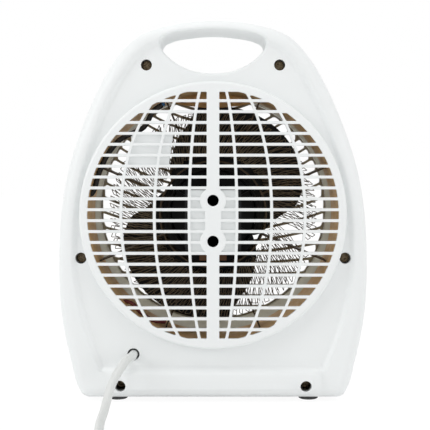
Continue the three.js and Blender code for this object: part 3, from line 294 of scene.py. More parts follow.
def layered(name, colour, gap, pitch, roughness, metallic):
    """Stacked or wound material, with its pitch in mm."""
    values = {"Colour": colour, "Gap": gap, "Pitch": pitch, "Roughness": roughness}
    return finish_of(name, "layered", values, (0.6, 0.0002), {"Metallic": metallic})


casing_white = plastic("casing white", (0.86, 0.88, 0.88), (0.74, 0.73, 0.71), 0.42, 1100, 0.06)
# The front grille's back faces get painted shade: a browner, darker colour for shade and warm reflection in the duct
grille_white = plastic("front grille white", (0.82, 0.83, 0.82), (0.72, 0.70, 0.67), 0.45, 1100, 0.15,
                       painted_shade=(0.46, 0.39, 0.28))
# The duct sleeve is white plastic of the front shell; its darker beige colour is painted shade and painted warm
# reflection of the liner
sleeve_painted_shade = plastic("duct white in painted shade", (0.69, 0.64, 0.49), (0.58, 0.52, 0.40), 0.6, 1100, 0.2)
fan_black = plastic("fan black", (0.006, 0.006, 0.007), (0.05, 0.048, 0.045), 0.5, 700, 0.06,
                    **{"Specular IOR Level": 0.3})
knob_black = plastic("knob black", (0.02, 0.02, 0.022), (0.16, 0.15, 0.15), 0.38, 1200, 0.1, (0.15, 0.0001))
bakelite = plastic("cut-out black", (0.018, 0.016, 0.015), (0.12, 0.11, 0.10), 0.35, 500, 0.2)
porcelain = plastic("insulating body", (0.62, 0.57, 0.48), (0.45, 0.42, 0.37), 0.55, 400, 0.3, (0.2, 0.0002))
lens_red = plastic("lens red", (0.50, 0.035, 0.02), (0.3, 0.1, 0.1), 0.12, 300, 0.05, (0.03, 0.0001),
                   **{"Transmission Weight": 0.55, "IOR": 1.49})
lamp_glass = plastic("lamp glass", (0.9, 0.8, 0.7), (0.6, 0.5, 0.4), 0.08, 200, 0.05, (0.02, 0.0001),
                     **{"Transmission Weight": 0.8, "IOR": 1.46})
foot_rubber = plastic("foot rubber", (0.10, 0.10, 0.10), (0.22, 0.21, 0.20), 0.75, 500, 0.2, (0.3, 0.0002))
cord_grey = plastic("cord sheath", (0.71, 0.725, 0.71), (0.55, 0.54, 0.52), 0.38, 260, 0.15, (0.12, 0.0003))
plug_grey = plastic("plug moulding", (0.71, 0.725, 0.71), (0.55, 0.54, 0.52), 0.42, 800, 0.2, (0.12, 0.0002))
sleeve_black = plastic("black sleeving", (0.014, 0.013, 0.013), (0.08, 0.08, 0.08), 0.6, 1500, 0.1, (0.5, 0.0002))
wire_red = plastic("red insulation", (0.15, 0.024, 0.024), (0.2, 0.12, 0.1), 0.45, 600, 0.1)
wire_blue = plastic("blue insulation", (0.02, 0.12, 0.30), (0.15, 0.18, 0.22), 0.42, 600, 0.1)
mica_tan = mica("liner mica", (0.76, 0.46, 0.19), (0.86, 0.56, 0.27), 0.8)
mica_brown = mica("frame mica", (0.055, 0.036, 0.020), (0.09, 0.062, 0.036), 0.75)
zinc_steel = metal("zinc plated steel", (0.55, 0.55, 0.56), (0.36, 0.34, 0.31), 0.32)
dark_steel = metal("blackened steel", (0.035, 0.037, 0.042), (0.09, 0.08, 0.07), 0.4)
screw_bronze = finish_of("bronzed screw", "metal", {"Colour": (0.34, 0.26, 0.16), "Tarnish": (0.15, 0.11, 0.07),
                                                    "Roughness": 0.42, "Tarnishing": 0.6},
                         (0.15, 0.00005), {"Metallic": 0.35})
brass_bright = metal("brass", (0.62, 0.46, 0.19), (0.35, 0.24, 0.1), 0.28)
# The motor's laminations are given a near-black colour
stack_dark = layered("near-black laminations", (0.05, 0.05, 0.055), (0.01, 0.01, 0.01), 0.5, 0.5, 0.7)
coil_copper = layered("taped winding", (0.32, 0.15, 0.06), (0.08, 0.03, 0.01), 0.45, 0.45, 0.3)
wire_oxide = finish_of("heating wire", "oxide", {"Colour": (0.20, 0.15, 0.09), "Oxide": (0.05, 0.037, 0.025),
                                                 "Roughness": 0.5}, (0.2, 0.00005), {"Metallic": 0.4})


# Surfaces: dictionaries of points in millimetres, faces and normals, in the row frame's directions
def at(x, depth, height):
    """Points of the row frame, in millimetres, from x, depth and height."""
    x, depth, height = np.broadcast_arrays(x, depth, height)
    return np.stack([x, REAR - depth, height], axis=-1).astype(float)


def smooth(value, low, high):
    """0 below low and 1 above high, with 3s^2 - 2s^3 between."""
    share = np.clip((value - low) / (high - low), 0, 1)
    return share * share * (3 - 2 * share)


def unit(vectors):
    """The vectors at length 1."""
    return vectors / np.maximum(np.linalg.norm(vectors, axis=-1, keepdims=True), 1e-12)


def surface(points, faces, normals):
    """Points, faces and one normal for each point, as one record."""
    return {"points": points.reshape(-1, 3), "faces": faces, "normals": normals.reshape(-1, 3)}


def grid(points, facing, wrap_columns=False, normals=None):
    """A sheet through points[row, column]; its normal is the cross product of the two central differences,
    turned to agree with facing, a vector or one vector for each point."""
    rows, columns = points.shape[:2]
    across = np.roll(points, -1, 1) - np.roll(points, 1, 1) if wrap_columns else np.gradient(points, axis=1)
    worked = unit(np.cross(np.gradient(points, axis=0), across))
    turned = np.sum(worked * facing) < 0
    index = np.arange(rows * columns).reshape(rows, columns)
    if wrap_columns:
        index = np.hstack([index, index[:, :1]])
    quads = np.stack([index[:-1, :-1], index[1:, :-1], index[1:, 1:], index[:-1, 1:]], axis=-1).reshape(-1, 4)
    if turned:
        worked, quads = -worked, quads[:, ::-1]
    return surface(points, quads, worked if normals is None else normals)


def sheet(points, facing, wrap_columns=False):
    """A grid whose normals are given by facing: one vector, one for each column or one for each point."""
    facing = unit(np.broadcast_to(np.asarray(facing, dtype=float), points.shape))
    return grid(points, facing, wrap_columns=wrap_columns, normals=facing)


def lathe(profile, x=0.0, height=AXIS, along="y", origin=0.0, sides=64, smooth=False):
    """Turns profile points (radius, distance) about an axis through (x, height): a point is the base plus radius
    times the spoke plus distance times the axis. Each straight run of the profile is a cone with its own normals,
    so that corners stay crisp, unless smooth joins them all. Along y, distance is a depth."""
    first, second, axis, base = (np.array(vector, dtype=float) for vector in {
        "x": ((0, 1, 0), (0, 0, 1), (1, 0, 0), (x, origin, height)),
        "y": ((1, 0, 0), (0, 0, 1), (0, -1, 0), (x, REAR, height)),
        "z": ((1, 0, 0), (0, -1, 0), (0, 0, 1), (x, REAR - origin, 0)),
    }[along])
    angle = np.linspace(0, 2 * np.pi, sides, endpoint=False)[:, None]
    spoke = np.cos(angle) * first + np.sin(angle) * second
    profile = np.asarray(profile, dtype=float)
    made = []
    for run in [profile] if smooth else [profile[i:i + 2] for i in range(len(profile) - 1)]:
        step = np.gradient(run, axis=0)[..., None]
        points = base + run[:, :1, None] * spoke + run[:, 1:, None] * axis
        made.append(sheet(points, unit(step[:, 1:] * spoke - step[:, :1] * axis), True))
    return made


def curve(points, steps, closed=False):
    """A curve through all the points: on each span a cubic whose end slopes are the neighbouring chords' slopes,
    weighted by the length of the chord on the other side."""
    points = np.asarray(points, dtype=float)
    count = len(points)
    after = np.roll(points, -1, 0) if closed else np.vstack([points[1:], 2 * points[-1] - points[-2]])
    chord = after - points
    size = np.linalg.norm(chord, axis=1, keepdims=True)
    before_size = np.roll(size, 1, 0) if closed else np.vstack([size[:1], size[:-1]])
    before = np.roll(chord / size, 1, 0) if closed else np.vstack([(chord / size)[:1], (chord / size)[:-1]])
    slope = (chord / size * before_size + before * size) / (size + before_size)
    spans = np.arange(count if closed else count - 1)
    nexts = (spans + 1) % count
    share = np.linspace(0, 1, steps, endpoint=False)[:, None, None]
    line = ((2 * share**3 - 3 * share**2 + 1) * points[spans] + (3 * share**2 - 2 * share**3) * points[nexts]
            + (share**3 - 2 * share**2 + share) * slope[spans] * size[spans]
            + (share**3 - share**2) * slope[nexts] * size[spans])
    line = line.transpose(1, 0, 2).reshape(-1, points.shape[1])
    return line if closed else np.vstack([line, points[-1:]])


def evenly(points, count, closed=False):
    """Points at equal distances along a line."""
    if closed:
        points = np.vstack([points, points[:1]])
    walked = np.concatenate([[0], np.cumsum(np.linalg.norm(np.diff(points, axis=0), axis=1))])
    where = np.linspace(0, walked[-1], count, endpoint=not closed)
    return np.stack([np.interp(where, walked, points[:, k]) for k in range(points.shape[1])], axis=1)


def tube(path, radius, sides=12, round_end=True):
    """A round section carried along a path; each frame is the one before, turned the least. The ends are
    domes, or flat where round_end is off."""
    path = np.asarray(path, dtype=float)
    along = unit(np.gradient(path, axis=0))
    across = np.zeros_like(path)
    first = np.cross(along[0], (0.0, 0.0, 1.0))
    across[0] = unit(first if np.linalg.norm(first) > 0.1 else np.cross(along[0], (1.0, 0.0, 0.0)))
    for i in range(1, len(path)):
        across[i] = unit(across[i - 1] - along[i] * np.dot(across[i - 1], along[i]))
    other = np.cross(along, across)
    angle = np.linspace(0, 2 * np.pi, sides, endpoint=False)
    spokes = across[:, None] * np.cos(angle)[None, :, None] + other[:, None] * np.sin(angle)[None, :, None]
    size = np.broadcast_to(np.asarray(radius, dtype=float), (len(path),))
    rings, outs = path[:, None] + spokes * size[:, None, None], spokes
    bend = np.linspace(0, np.pi / 2, 4)[1:][:, None, None] if round_end else np.array([np.pi / 2])[:, None, None]
    reach = size[[0, -1]] * (0.5 if round_end else 0.0)
    ends = []
    for end, sign in ((0, -1), (-1, 1)):
        cap = path[end] + spokes[end] * size[end] * np.cos(bend) + sign * along[end] * reach[end] * np.sin(bend)
        ends.append((cap, unit(spokes[end] * np.cos(bend) + sign * along[end] * np.sin(bend))))
    points = np.vstack([ends[0][0][::-1], rings, ends[1][0]])
    normals = np.vstack([ends[0][1][::-1], outs, ends[1][1]])
    return sheet(points, normals, True)


def box_block(left, right, start, end, bottom, top, bevel=0.4):
    """A block with all its edges bevelled: six faces, a quad along each edge and a triangle at each corner. Every
    point is a corner of the block, moved in by the bevel along the axes where keep is 1."""
    low = np.array([left, REAR - end, bottom], dtype=float)
    high = np.array([right, REAR - start, top], dtype=float)

    def spot(sign, keep):
        """The corner with that sign on each axis, 0 low and 1 high, moved in where keep is 1."""
        return np.where(np.asarray(sign) == 0, low + bevel * np.asarray(keep), high - bevel * np.asarray(keep))

    made = []
    for axis in range(3):
        for side in (0, 1):
            face = [[spot(np.insert([a, b], axis, side), np.insert([1, 1], axis, 0)) for a in (0, 1)] for b in (0, 1)]
            made.append(sheet(np.array(face), np.insert([0, 0], axis, 2 * side - 1)))
        for a in (0, 1):
            for b in (0, 1):
                face = [[spot(np.insert([a, b], axis, end_side), np.insert(keep, axis, 1)) for end_side in (0, 1)]
                        for keep in ([0, 1], [1, 0])]
                made.append(sheet(np.array(face), np.insert([2 * a - 1, 2 * b - 1], axis, 0)))
    for sign in np.ndindex(2, 2, 2):
        points = np.array([spot(sign, keep) for keep in ((0, 1, 1), (1, 0, 1), (1, 1, 0))])
        out = unit(2.0 * np.array(sign) - 1)
        normal = np.cross(points[1] - points[0], points[2] - points[0])
        face = np.array([[0, 1, 2]]) if np.dot(normal, out) > 0 else np.array([[0, 2, 1]])
        made.append(surface(points, face, np.broadcast_to(out, (3, 3))))
    return made


# Flat regions with openings
def loop_normals(loop):
    """Unit vectors square to a closed loop, pointing away from what it encloses."""
    tangent = unit(np.roll(loop, -1, 0) - np.roll(loop, 1, 0))
    area = np.sum(loop[:, 0] * np.roll(loop[:, 1], -1) - np.roll(loop[:, 0], -1) * loop[:, 1])
    return np.stack([tangent[:, 1], -tangent[:, 0]], axis=1) * np.sign(area)


def inside(points, loop):
    """Counts how many edges of the loop lie to the right of each point; an odd count is inside."""
    start, end = loop, np.roll(loop, -1, 0)
    low, high = loop.min(0), loop.max(0)
    near = np.all((points > low) & (points < high), axis=1)
    found = np.zeros(len(points), dtype=bool)
    p = points[near][:, None]
    crosses = (start[:, 1] > p[..., 1]) != (end[:, 1] > p[..., 1])
    rise = np.where(end[:, 1] == start[:, 1], 1e-9, end[:, 1] - start[:, 1])
    where = start[:, 0] + (p[..., 1] - start[:, 1]) / rise * (end[:, 0] - start[:, 0])
    found[near] = np.sum(crosses & (where > p[..., 0]), axis=1) % 2 == 1
    return found


def gap_to(points, loop):
    """Least distance from each point to a closed loop's edges, worked out for 2,000 points at a time."""
    start, run = loop, np.roll(loop, -1, 0) - loop
    length = np.maximum(np.sum(run**2, axis=1), 1e-12)
    gaps = []
    for part in np.array_split(points, max(1, len(points) // 2000)):
        offset = part[:, None] - start
        share = np.clip(np.sum(offset * run, axis=2) / length, 0, 1)
        gaps.append(np.sqrt(np.min(np.sum((offset - share[..., None] * run) ** 2, axis=2), axis=1)))
    return np.concatenate(gaps)


def filled(outer, holes, spacing=None):
    """Triangles over the region inside outer and outside the holes, with a grid of points inside it if spaced."""
    loops = [outer, *holes]
    points = np.vstack(loops)
    edges, start = [], 0
    for loop in loops:
        index = np.arange(len(loop)) + start
        edges += np.stack([index, np.roll(index, -1)], axis=1).tolist()
        start += len(loop)
    if spacing:
        low, high = outer.min(0), outer.max(0)
        spots = np.stack(np.meshgrid(np.arange(low[0], high[0], spacing), np.arange(low[1], high[1], spacing)), -1)
        spots[1::2, :, 0] += spacing / 2
        spots = spots.reshape(-1, 2)
        keep = inside(spots, outer)
        for loop in holes:
            keep &= ~inside(spots, loop)
        spots = spots[keep]
        for loop in loops:
            spots = spots[gap_to(spots, loop) > 0.6 * spacing]
        points = np.vstack([points, spots])
    made = delaunay_2d_cdt([Vector(p) for p in points.tolist()], edges, [], 0, 1e-6)
    spots = np.array([tuple(v) for v in made[0]])
    faces = np.array(made[2])
    middles = spots[faces].mean(axis=1)
    keep = inside(middles, outer)
    for loop in holes:
        keep &= ~inside(middles, loop)
    return spots, faces[keep]


def slope_normals(spots, depth, side):
    """The surface's normal from the depth's differences over 0.1 mm; side 1 looks back and -1 forward."""
    step = 0.05
    across = (depth(spots + (step, 0)) - depth(spots - (step, 0))) / (2 * step)
    up = (depth(spots + (0, step)) - depth(spots - (0, step))) / (2 * step)
    return unit(np.stack([across, np.ones(len(spots)), up], axis=1)) * side


def pierced(outer, openings, depth, side, spacing=None, steps=5, inner=None):
    """One face of a plate at a depth that depends on place, with a rounded edge round each opening. An opening is
    (loop, edge radius, depth at which its wall ends). A wall point lies at angle 0, the face at angle 90:
    the offset is r (1 - cos a) and the drop r (1 - sin a). With inner, the plate is that thick: its other face
    follows the first, and each wall gets its own back and lip."""
    made, rims = [], []
    for loop, radius, end in openings:
        away = loop_normals(loop)
        angle = np.linspace(0, np.pi / 2, steps if radius > 0 else 1)
        if radius <= 0:
            angle = np.array([np.pi / 2])
        rings = loop + away * (radius * (1 - np.cos(angle)))[:, None, None]
        flat = depth(rings.reshape(-1, 2)).reshape(rings.shape[:2])
        drop = side * radius * (1 - np.sin(angle))[:, None]
        points = at(rings[..., 0], flat + drop, rings[..., 1])
        base = slope_normals(rings.reshape(-1, 2), depth, side).reshape(points.shape)
        wall = np.stack([-away[:, 0], np.zeros(len(away)), -away[:, 1]], axis=1)
        normals = unit(wall * np.cos(angle)[:, None, None] + base * np.sin(angle)[:, None, None])
        if radius > 0:
            made.append(sheet(points, normals, True))
        if end is not None:
            reach = np.stack([points[0], at(loop[:, 0], end if np.isscalar(end) else end(loop), loop[:, 1])])
            made.append(sheet(reach, wall, True))
        if inner and end is not None:
            rim = rings[-1]
            behind = np.stack([at(rim[:, 0], flat[-1] + side * inner, rim[:, 1]), at(rim[:, 0], end, rim[:, 1])])
            made.append(sheet(behind, -wall, True))
            lip = np.stack([at(loop[:, 0], end, loop[:, 1]), at(rim[:, 0], end, rim[:, 1])])
            made.append(sheet(lip, (0, -side, 0), True))
        rims.append(rings[-1])
    spots, faces = filled(outer, rims, spacing)
    points = at(spots[:, 0], depth(spots), spots[:, 1])
    normals = slope_normals(spots, depth, side)
    made.append(surface(points, faces[:, ::-1] if side > 0 else faces, normals))
    if inner:
        made.append(surface(points - (0, side * inner, 0), faces if side > 0 else faces[:, ::-1], -normals))
    return made


def circle(radius, x=0.0, height=AXIS, count=96):
    """Points at equal angles round a centre."""
    angle = np.linspace(0, 2 * np.pi, count, endpoint=False)
    return np.stack([x + radius * np.cos(angle), height + radius * np.sin(angle)], axis=1)


def rounded(corners, radius, turn=0.35, steps=3):
    """A closed outline whose corners sharper than turn become short curves: p (1-t)^2 + 2 c t (1-t) + q t^2."""
    made = []
    count = len(corners)
    for i in range(count):
        before, here, after = corners[i - 1], corners[i], corners[(i + 1) % count]
        arriving, leaving = here - before, after - here
        size_in, size_out = np.linalg.norm(arriving), np.linalg.norm(leaving)
        bend = math.acos(np.clip(np.dot(arriving, leaving) / max(size_in * size_out, 1e-9), -1, 1))
        if bend < turn:
            made.append(here[None])
            continue
        cut_in, cut_out = min(radius, 0.45 * size_in), min(radius, 0.45 * size_out)
        start, end = here - arriving / size_in * cut_in, here + leaving / size_out * cut_out
        share = np.linspace(0, 1, steps + 1)[:, None]
        made.append(start * (1 - share) ** 2 + 2 * here * share * (1 - share) + end * share**2)
    return np.vstack(made)


# Pieces
def mesh_piece(name, surfaces, material, body="housing", slot=None, stands_for=()):
    """One object from surfaces: equal points are merged, and each face corner keeps its own surface's normal."""
    points = np.vstack([s["points"] for s in surfaces])
    normals = np.vstack([s["normals"] for s in surfaces])
    shared, merged = np.unique(np.round(points, 4), axis=0, return_inverse=True)
    merged = merged.reshape(-1)
    faces, corners, start = [], [], 0
    for s in surfaces:
        index = s["faces"] + start
        start += len(s["points"])
        own = merged[index]
        if index.shape[1] == 4:
            for drop, near in ((0, 1), (1, 2), (2, 3), (3, 0)):
                folded = own[:, drop] == own[:, near]
                left = [k for k in range(4) if k != drop]
                thin = index[folded][:, left]
                kept = merged[thin]
                whole = (kept[:, 0] != kept[:, 1]) & (kept[:, 1] != kept[:, 2]) & (kept[:, 0] != kept[:, 2])
                faces += kept[whole].tolist()
                corners.append(thin[whole].reshape(-1))
                index, own = index[~folded], own[~folded]
        else:
            whole = (own[:, 0] != own[:, 1]) & (own[:, 1] != own[:, 2]) & (own[:, 0] != own[:, 2])
            index, own = index[whole], own[whole]
        faces += own.tolist()
        corners.append(index.reshape(-1))
    mesh = bpy.data.meshes.new(name)
    mesh.from_pydata((shared / 1000).tolist(), [], faces)
    mesh.polygons.foreach_set("use_smooth", np.ones(len(faces), dtype=bool))
    mesh.materials.append(material)
    mesh.normals_split_custom_set(normals[np.concatenate(corners)].tolist())
    mesh.update()
    piece = bpy.data.objects.new(name, mesh)
    bpy.context.collection.objects.link(piece)
    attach(piece, body)
    if stands_for:
        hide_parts(*stands_for)
    return piece


# Cord: its route inside the heater, down to the floor, and the coil behind it, as in the solids
CORD_ROUTE = [
    [56, 19, 33.7], [56, 11, 33.7], [56, 3, 33.7], [56.4, -3, 33.7], [58.4, -9.5, 33], [61.8, -16, 29.8],
    [65.2, -22, 24.6], [68.4, -28, 18.2], [70.2, -35, 11.2], [71.2, -43.5, 5.7], [71.7, -53, 3.4],
    [71.4, -66, 3.1], [70.2, -82, 3.1], [68.6, -100, 3.1], [67.8, -120, 3.1], [67.6, -150, 3.1],
    [67.6, -184, 3.1], [67.6, -191, 3.1],
]
CORD_RADIUS, CORD_STEP = 3.0, 2.2


def coil_path():
    """Spiral in along the floor, climb a layer in half a turn, spiral out again and rise to the plug."""
    turns_in_all, outer, inner = 6.25, 44.3, 24.0
    turns = np.linspace(0, turns_in_all, 321)
    half = turns_in_all / 2
    radius = outer + (inner - outer) * (1 - np.abs(turns - half) / half)

    climb = smooth(turns, half - 0.25, half + 0.25)
    height = 3.1 + 6.6 * climb + 3.3 * smooth(turns, turns_in_all - 0.7, turns_in_all)
    angle = 2 * np.pi * turns
    loops = np.stack([67.6 - outer + radius * np.cos(angle), REAR + 194 + radius * np.sin(angle), height], axis=1)
    tail = loops[-1] + np.array([[-2.0, 0, 0], [-4.0, 0, 0], [-6.0, 0, 0]])
    return np.vstack([loops, tail])


def make_cord():
    """A tube along the route and the coil, through points at equal distances."""
    lead_in = curve([[x, REAR - depth, height] for x, depth, height in CORD_ROUTE], 5)
    path = np.vstack([lead_in[:-1], coil_path()])
    length = np.sum(np.linalg.norm(np.diff(path, axis=0), axis=1))
    path = evenly(path, int(length / CORD_STEP))
    piece = mesh_piece("mains_cord", [tube(path, CORD_RADIUS, 18)], cord_grey, slot="cord_sheath",
                       stands_for=("cord", "cord_coil"))
    return piece, path


mains_cord, cord_path = make_cord()


def make_plug():
    """Sections that follow |y|^n + |z|^n = 1, with n from 5 at the flat face to 2 at the end of the tapered grip,
    then a ribbed tail round the cord; and two turned pins."""
    x_face, y_middle, z_middle = -35.0, 294.8, 13.0
    stations = np.array([
        [0.0, 16.6, 11.6], [0.3, 17.4, 12.4], [1.2, 17.8, 12.9], [9, 17.9, 12.9], [18, 17.6, 12.8], [22, 16.2, 12.3],
        [26, 13.6, 11.2], [30, 11.2, 9.8], [34, 8.6, 8.0], [37.5, 6.4, 6.2], [39.5, 5.6, 5.6],
    ])
    ribs = []
    for k in range(5):
        start = 39.5 + k * 2.4
        size = 5.6 - 0.2 * k
        ribs += [[start + away, size - less, size - less]
                 for away, less in ((0.3, 0), (1.3, 0.05), (1.5, 1.1), (2.2, 1.1))]
    stations = np.vstack([stations, ribs, [[52.0, 4.2, 4.2], [52.0, 3.1, 3.1]]])
    angle = np.linspace(0, 2 * np.pi, 64, endpoint=False)
    c, s = np.cos(angle), np.sin(angle)
    power = np.interp(stations[:, 0], [0, 22, 38], [5.0, 4.0, 2.0])[:, None]
    reach = (np.abs(c) ** power + np.abs(s) ** power) ** (-1 / power)
    x = x_face + stations[:, :1] + 0 * c
    points = np.stack([x, y_middle + stations[:, 1:2] * c * reach, z_middle + stations[:, 2:] * s * reach], axis=-1)
    face = np.stack([points[0], np.broadcast_to([x_face, y_middle, z_middle], points[0].shape)])
    middle = np.array([0, y_middle, z_middle])
    sides = grid(points, (points - middle) * (0, 1, 1), wrap_columns=True)
    flat = sheet(face, (-1.0, 0, 0), True)
    body = mesh_piece("plug_moulding", [sides, flat], plug_grey, slot="cord_sheath", stands_for=("plug_body",))
    pins = []
    for name, offset in (("plug_pin_outer", 9.5), ("plug_pin_inner", -9.5)):
        profile = [(0, -19.3), (1.4, -19.3), (2.2, -18.5), (2.4, -17.6), (2.4, -0.3), (0, -0.3)]
        turned = lathe(profile, x=x_face, height=z_middle, along="x", origin=y_middle + offset, sides=28)
        pins.append(mesh_piece(f"{name}_turned", turned, brass_bright, slot="brass", stands_for=(name,)))
    return [body, *pins]


plug_pieces = make_plug()


# Casing: outline, rear cover and front shell
OUTLINE_SHARES = [
    [0, 1], [0.2, 0.994], [0.383, 0.977], [0.5, 0.955], [0.565, 0.931], [0.642, 0.891], [0.759, 0.805],
    [0.847, 0.72], [0.933, 0.612], [0.978, 0.515], [1, 0.37], [0.978, 0.205], [0.923, 0.098], [0.872, 0.026],
    [0.845, 0.008], [0.8, 0],
]
HANDLE_SHARES = [[0, 0], [0.43, 0.075], [0.71, 0.247], [0.88, 0.42], [0.985, 0.6], [1, 0.71], [0.95, 0.81],
                 [0.85, 0.867], [0.43, 0.968], [0, 1]]
FRONT_SHARES = [[0, 0.97], [0.035, 1], [0.142, 1], [0.868, 0.625], [0.93, 0.53], [0.975, 0.44], [1, 0.36]]
CASE_SCREWS = [(side * x, z) for x, z in ((46.9, 237.3), (92.9, 101.4), (64.8, 12.6)) for side in (1, -1)]
CORD_HOLE = (56.0, 33.7)
COVER_DRAFT, COVER_ROUND, FRONT_DRAFT, FRONT_ROUND = 1.2, 8.0, 2.0, 9.0
RING, RING_FILLET, RING_ROUND, RING_CREST = 93.5, 0.8, 2.2, -4.0
RING_COUNT = 288
HANDLE_HALF, HANDLE_FOOT, HANDLE_RISE = 37.5, 231.5, 30.8
FRONT_DEPTH = 104
FLAT_FOOT = 60
# Section of the bulge across the foot: height above the floor, and how far it stands out of the panel
ROLL_SECTION = ([3.2, 5, 7.5, 10, 13, 17, 20, 21.8, 23.2, 24.2, 25],
                [0, -1.2, -3.6, -4.8, -5, -5, -4.8, -4.0, -2.2, -0.5, 0])
SCREW_SEAT, SCREW_HEAD, SCREW_SHANK = 12.0, 3.6, 1.6
SLEEVE_REAR, SLEEVE_WALL, MOUTH_ROUND = 47.0, 2.0, 1.6


def outline_loop():
    """The curve through the shares and their mirror image, flat along the bottom."""
    right = [[x * HALF_WIDTH, FOOT + up * HEIGHT] for x, up in OUTLINE_SHARES]
    left = [[-x, z] for x, z in right[:0:-1]]
    foot = [[FLAT_FOOT, FOOT], [0, FOOT], [-FLAT_FOOT, FOOT]]
    loop = evenly(curve([*right, *foot, *left], 24, closed=True), 480, closed=True)
    return np.stack([loop[:, 0], np.maximum(loop[:, 1], FOOT)], axis=1)


def handle_loop():
    """The curve through the handle's shares and their mirror image."""
    right = [[HANDLE_HALF * x, HANDLE_FOOT + HANDLE_RISE * up] for x, up in HANDLE_SHARES]
    return evenly(curve([*right, *[[-x, z] for x, z in right[-2:0:-1]]], 16, closed=True), 150, closed=True)


OUTLINE = outline_loop()
HANDLE = handle_loop()


def roll_at(x, z):
    """Bulge across the foot of the cover: a section through knots in height, fading softly at one end and ending
    sharply at the other, where its lower half is scooped away."""
    section = np.interp(z, *ROLL_SECTION)
    ends = smooth(x, -76.5, -70.5) * (1 - smooth(x, 58, 76))
    scoop = 1 - 0.5 * (1 - smooth(x, -72, -44)) * (1 - smooth(z, 7, 16))
    return section * ends * scoop


def cover_depth(spots, gap=None):
    """Quarter round from the side, a flat crest, a soft slope to the panel, and the roll."""
    gap = gap_to(spots, OUTLINE) if gap is None else gap
    x, z = spots[:, 0], spots[:, 1]
    low = np.clip((96 - z) / 94, 0, 1)
    into = COVER_ROUND - np.clip(gap - COVER_DRAFT, 0, COVER_ROUND)
    rim = COVER_ROUND - np.sqrt(COVER_ROUND**2 - into**2)
    return rim + PANEL * smooth(gap, 10 + 12 * low, 14.6 + 12 * low) + roll_at(x, z)


def front_at(z):
    """Depth of the front face: straight between the front's shares, averaged over 12 mm so its corners are soft."""
    knots = np.array([[up * HEIGHT + FOOT, FRONT_DEPTH * share] for up, share in FRONT_SHARES])
    return np.mean([np.interp(z + move, knots[:, 0], knots[:, 1]) for move in np.linspace(-6, 6, 9)], axis=0)


def shell_depth(spots, gap=None):
    """The front face, with a quarter round at its edge."""
    gap = gap_to(spots, OUTLINE) if gap is None else gap
    into = FRONT_ROUND - np.clip(gap - FRONT_DRAFT, 0, FRONT_ROUND)
    return front_at(spots[:, 1]) - FRONT_ROUND + np.sqrt(FRONT_ROUND**2 - into**2)


def edge_band(depth, side, seam, draft, round_radius, end_inset, inner):
    """The side of a shell: a small round at the seam, the drafted side, then the part of the quarter round at angle
    a that lies outside the inset end_inset; after them the lip and the inside. On the round, inset is
    draft + r (1 - cos a), and the normal is cos a outward plus sin a along the face's slope."""
    away = loop_normals(OUTLINE)
    out = np.stack([away[:, 0], 0 * away[:, 0], away[:, 1]], axis=1)
    back = np.array([0.0, side, 0.0])
    last = math.acos(1 - (end_inset - draft) / round_radius)
    points, normals = [], []

    def row(inset, level, outward, backward):
        """One loop of points at an inset and a depth, with its normals."""
        loop = OUTLINE - away * inset
        points.append(at(loop[:, 0], level, loop[:, 1]))
        normals.append(unit(out * outward + backward))

    row(0.35, seam, 0.0, -back)
    row(0.1, seam - side * 0.1, 0.7, -0.7 * back)
    row(0.0, seam - side * 0.35, 1.0, 0 * back)
    start = depth(OUTLINE - away * draft, np.full(len(away), draft))
    for share in np.linspace(0.1, 0.9, 6):
        row(draft * share, seam + (start - seam) * share, 1.0, back * 0.05)
    for angle in np.linspace(0, last, 9):
        inset = draft + round_radius * (1 - math.cos(angle))
        loop = OUTLINE - away * inset
        gap = np.full(len(loop), inset)
        steps = [depth(loop + move, gap) - depth(loop - move, gap) for move in ((0.05, 0), (0, 0.05))]
        slope = np.stack([steps[0] / 0.1, np.ones(len(loop)), steps[1] / 0.1], axis=1) * side
        row(inset, depth(loop, gap), math.cos(angle), math.sin(angle) * slope)
    outer = sheet(np.array(points), np.array(normals), True)
    loop = OUTLINE - away * end_inset
    face = depth(loop, np.full(len(loop), end_inset)) + side * inner
    inside_wall = np.array([at(loop[:, 0], face, loop[:, 1]), at(loop[:, 0], seam, loop[:, 1])])
    lip = np.array([at(loop[:, 0], seam, loop[:, 1]), points[0]])
    return [outer, sheet(inside_wall, -out, True), sheet(lip, -back, True)]


def ring_band(depth):
    """Raised ring of the rear grille, at angle b round the axis: a hollow fillet out of the panel, an upright side
    and a rounded shoulder; inside it, a cone back to the panel."""
    b = np.linspace(0, 2 * np.pi, RING_COUNT, endpoint=False)
    spoke = np.stack([np.cos(b), 0 * b, np.sin(b)], axis=1)
    back = np.array([0.0, 1.0, 0.0])
    base = depth(circle(RING + RING_FILLET, count=RING_COUNT))
    points, normals = [], []

    def row(radius, level, outward, backward):
        """One circle of points at a radius and a depth, with its normals."""
        points.append(at(radius * np.cos(b), level, AXIS + radius * np.sin(b)))
        normals.append(unit(spoke * outward + back * backward))

    for a in np.linspace(0, np.pi / 2, 6):
        row(RING + RING_FILLET * (1 - math.sin(a)), base - RING_FILLET * (1 - math.cos(a)), math.sin(a), math.cos(a))
    for a in np.linspace(0, np.pi / 2, 8):
        row(RING - RING_ROUND * (1 - math.cos(a)), RING_CREST + RING_ROUND * (1 - math.sin(a)), math.cos(a),
            math.sin(a))
    outer = sheet(np.array(points), np.array(normals), True)
    low, high = RING - RING_ROUND, RING + RING_FILLET
    cone = np.array([at(low * np.cos(b), RING_CREST + 2.8, AXIS + low * np.sin(b)),
                     at(high * np.cos(b), base + WALL, AXIS + high * np.sin(b))])
    return [outer, grid(cone, -spoke - back, wrap_columns=True)]


# Rear grille: rows of cells between bars that follow ellipses
ROW_PITCH, ROW_HEIGHT = 7.6, 5.55
MERIDIANS, MERIDIAN_REACH, CELL_RADIUS = (16.68, 40.94, 64.24), 104.4, 87.8
MOUNTS = (10.2, -18.3)


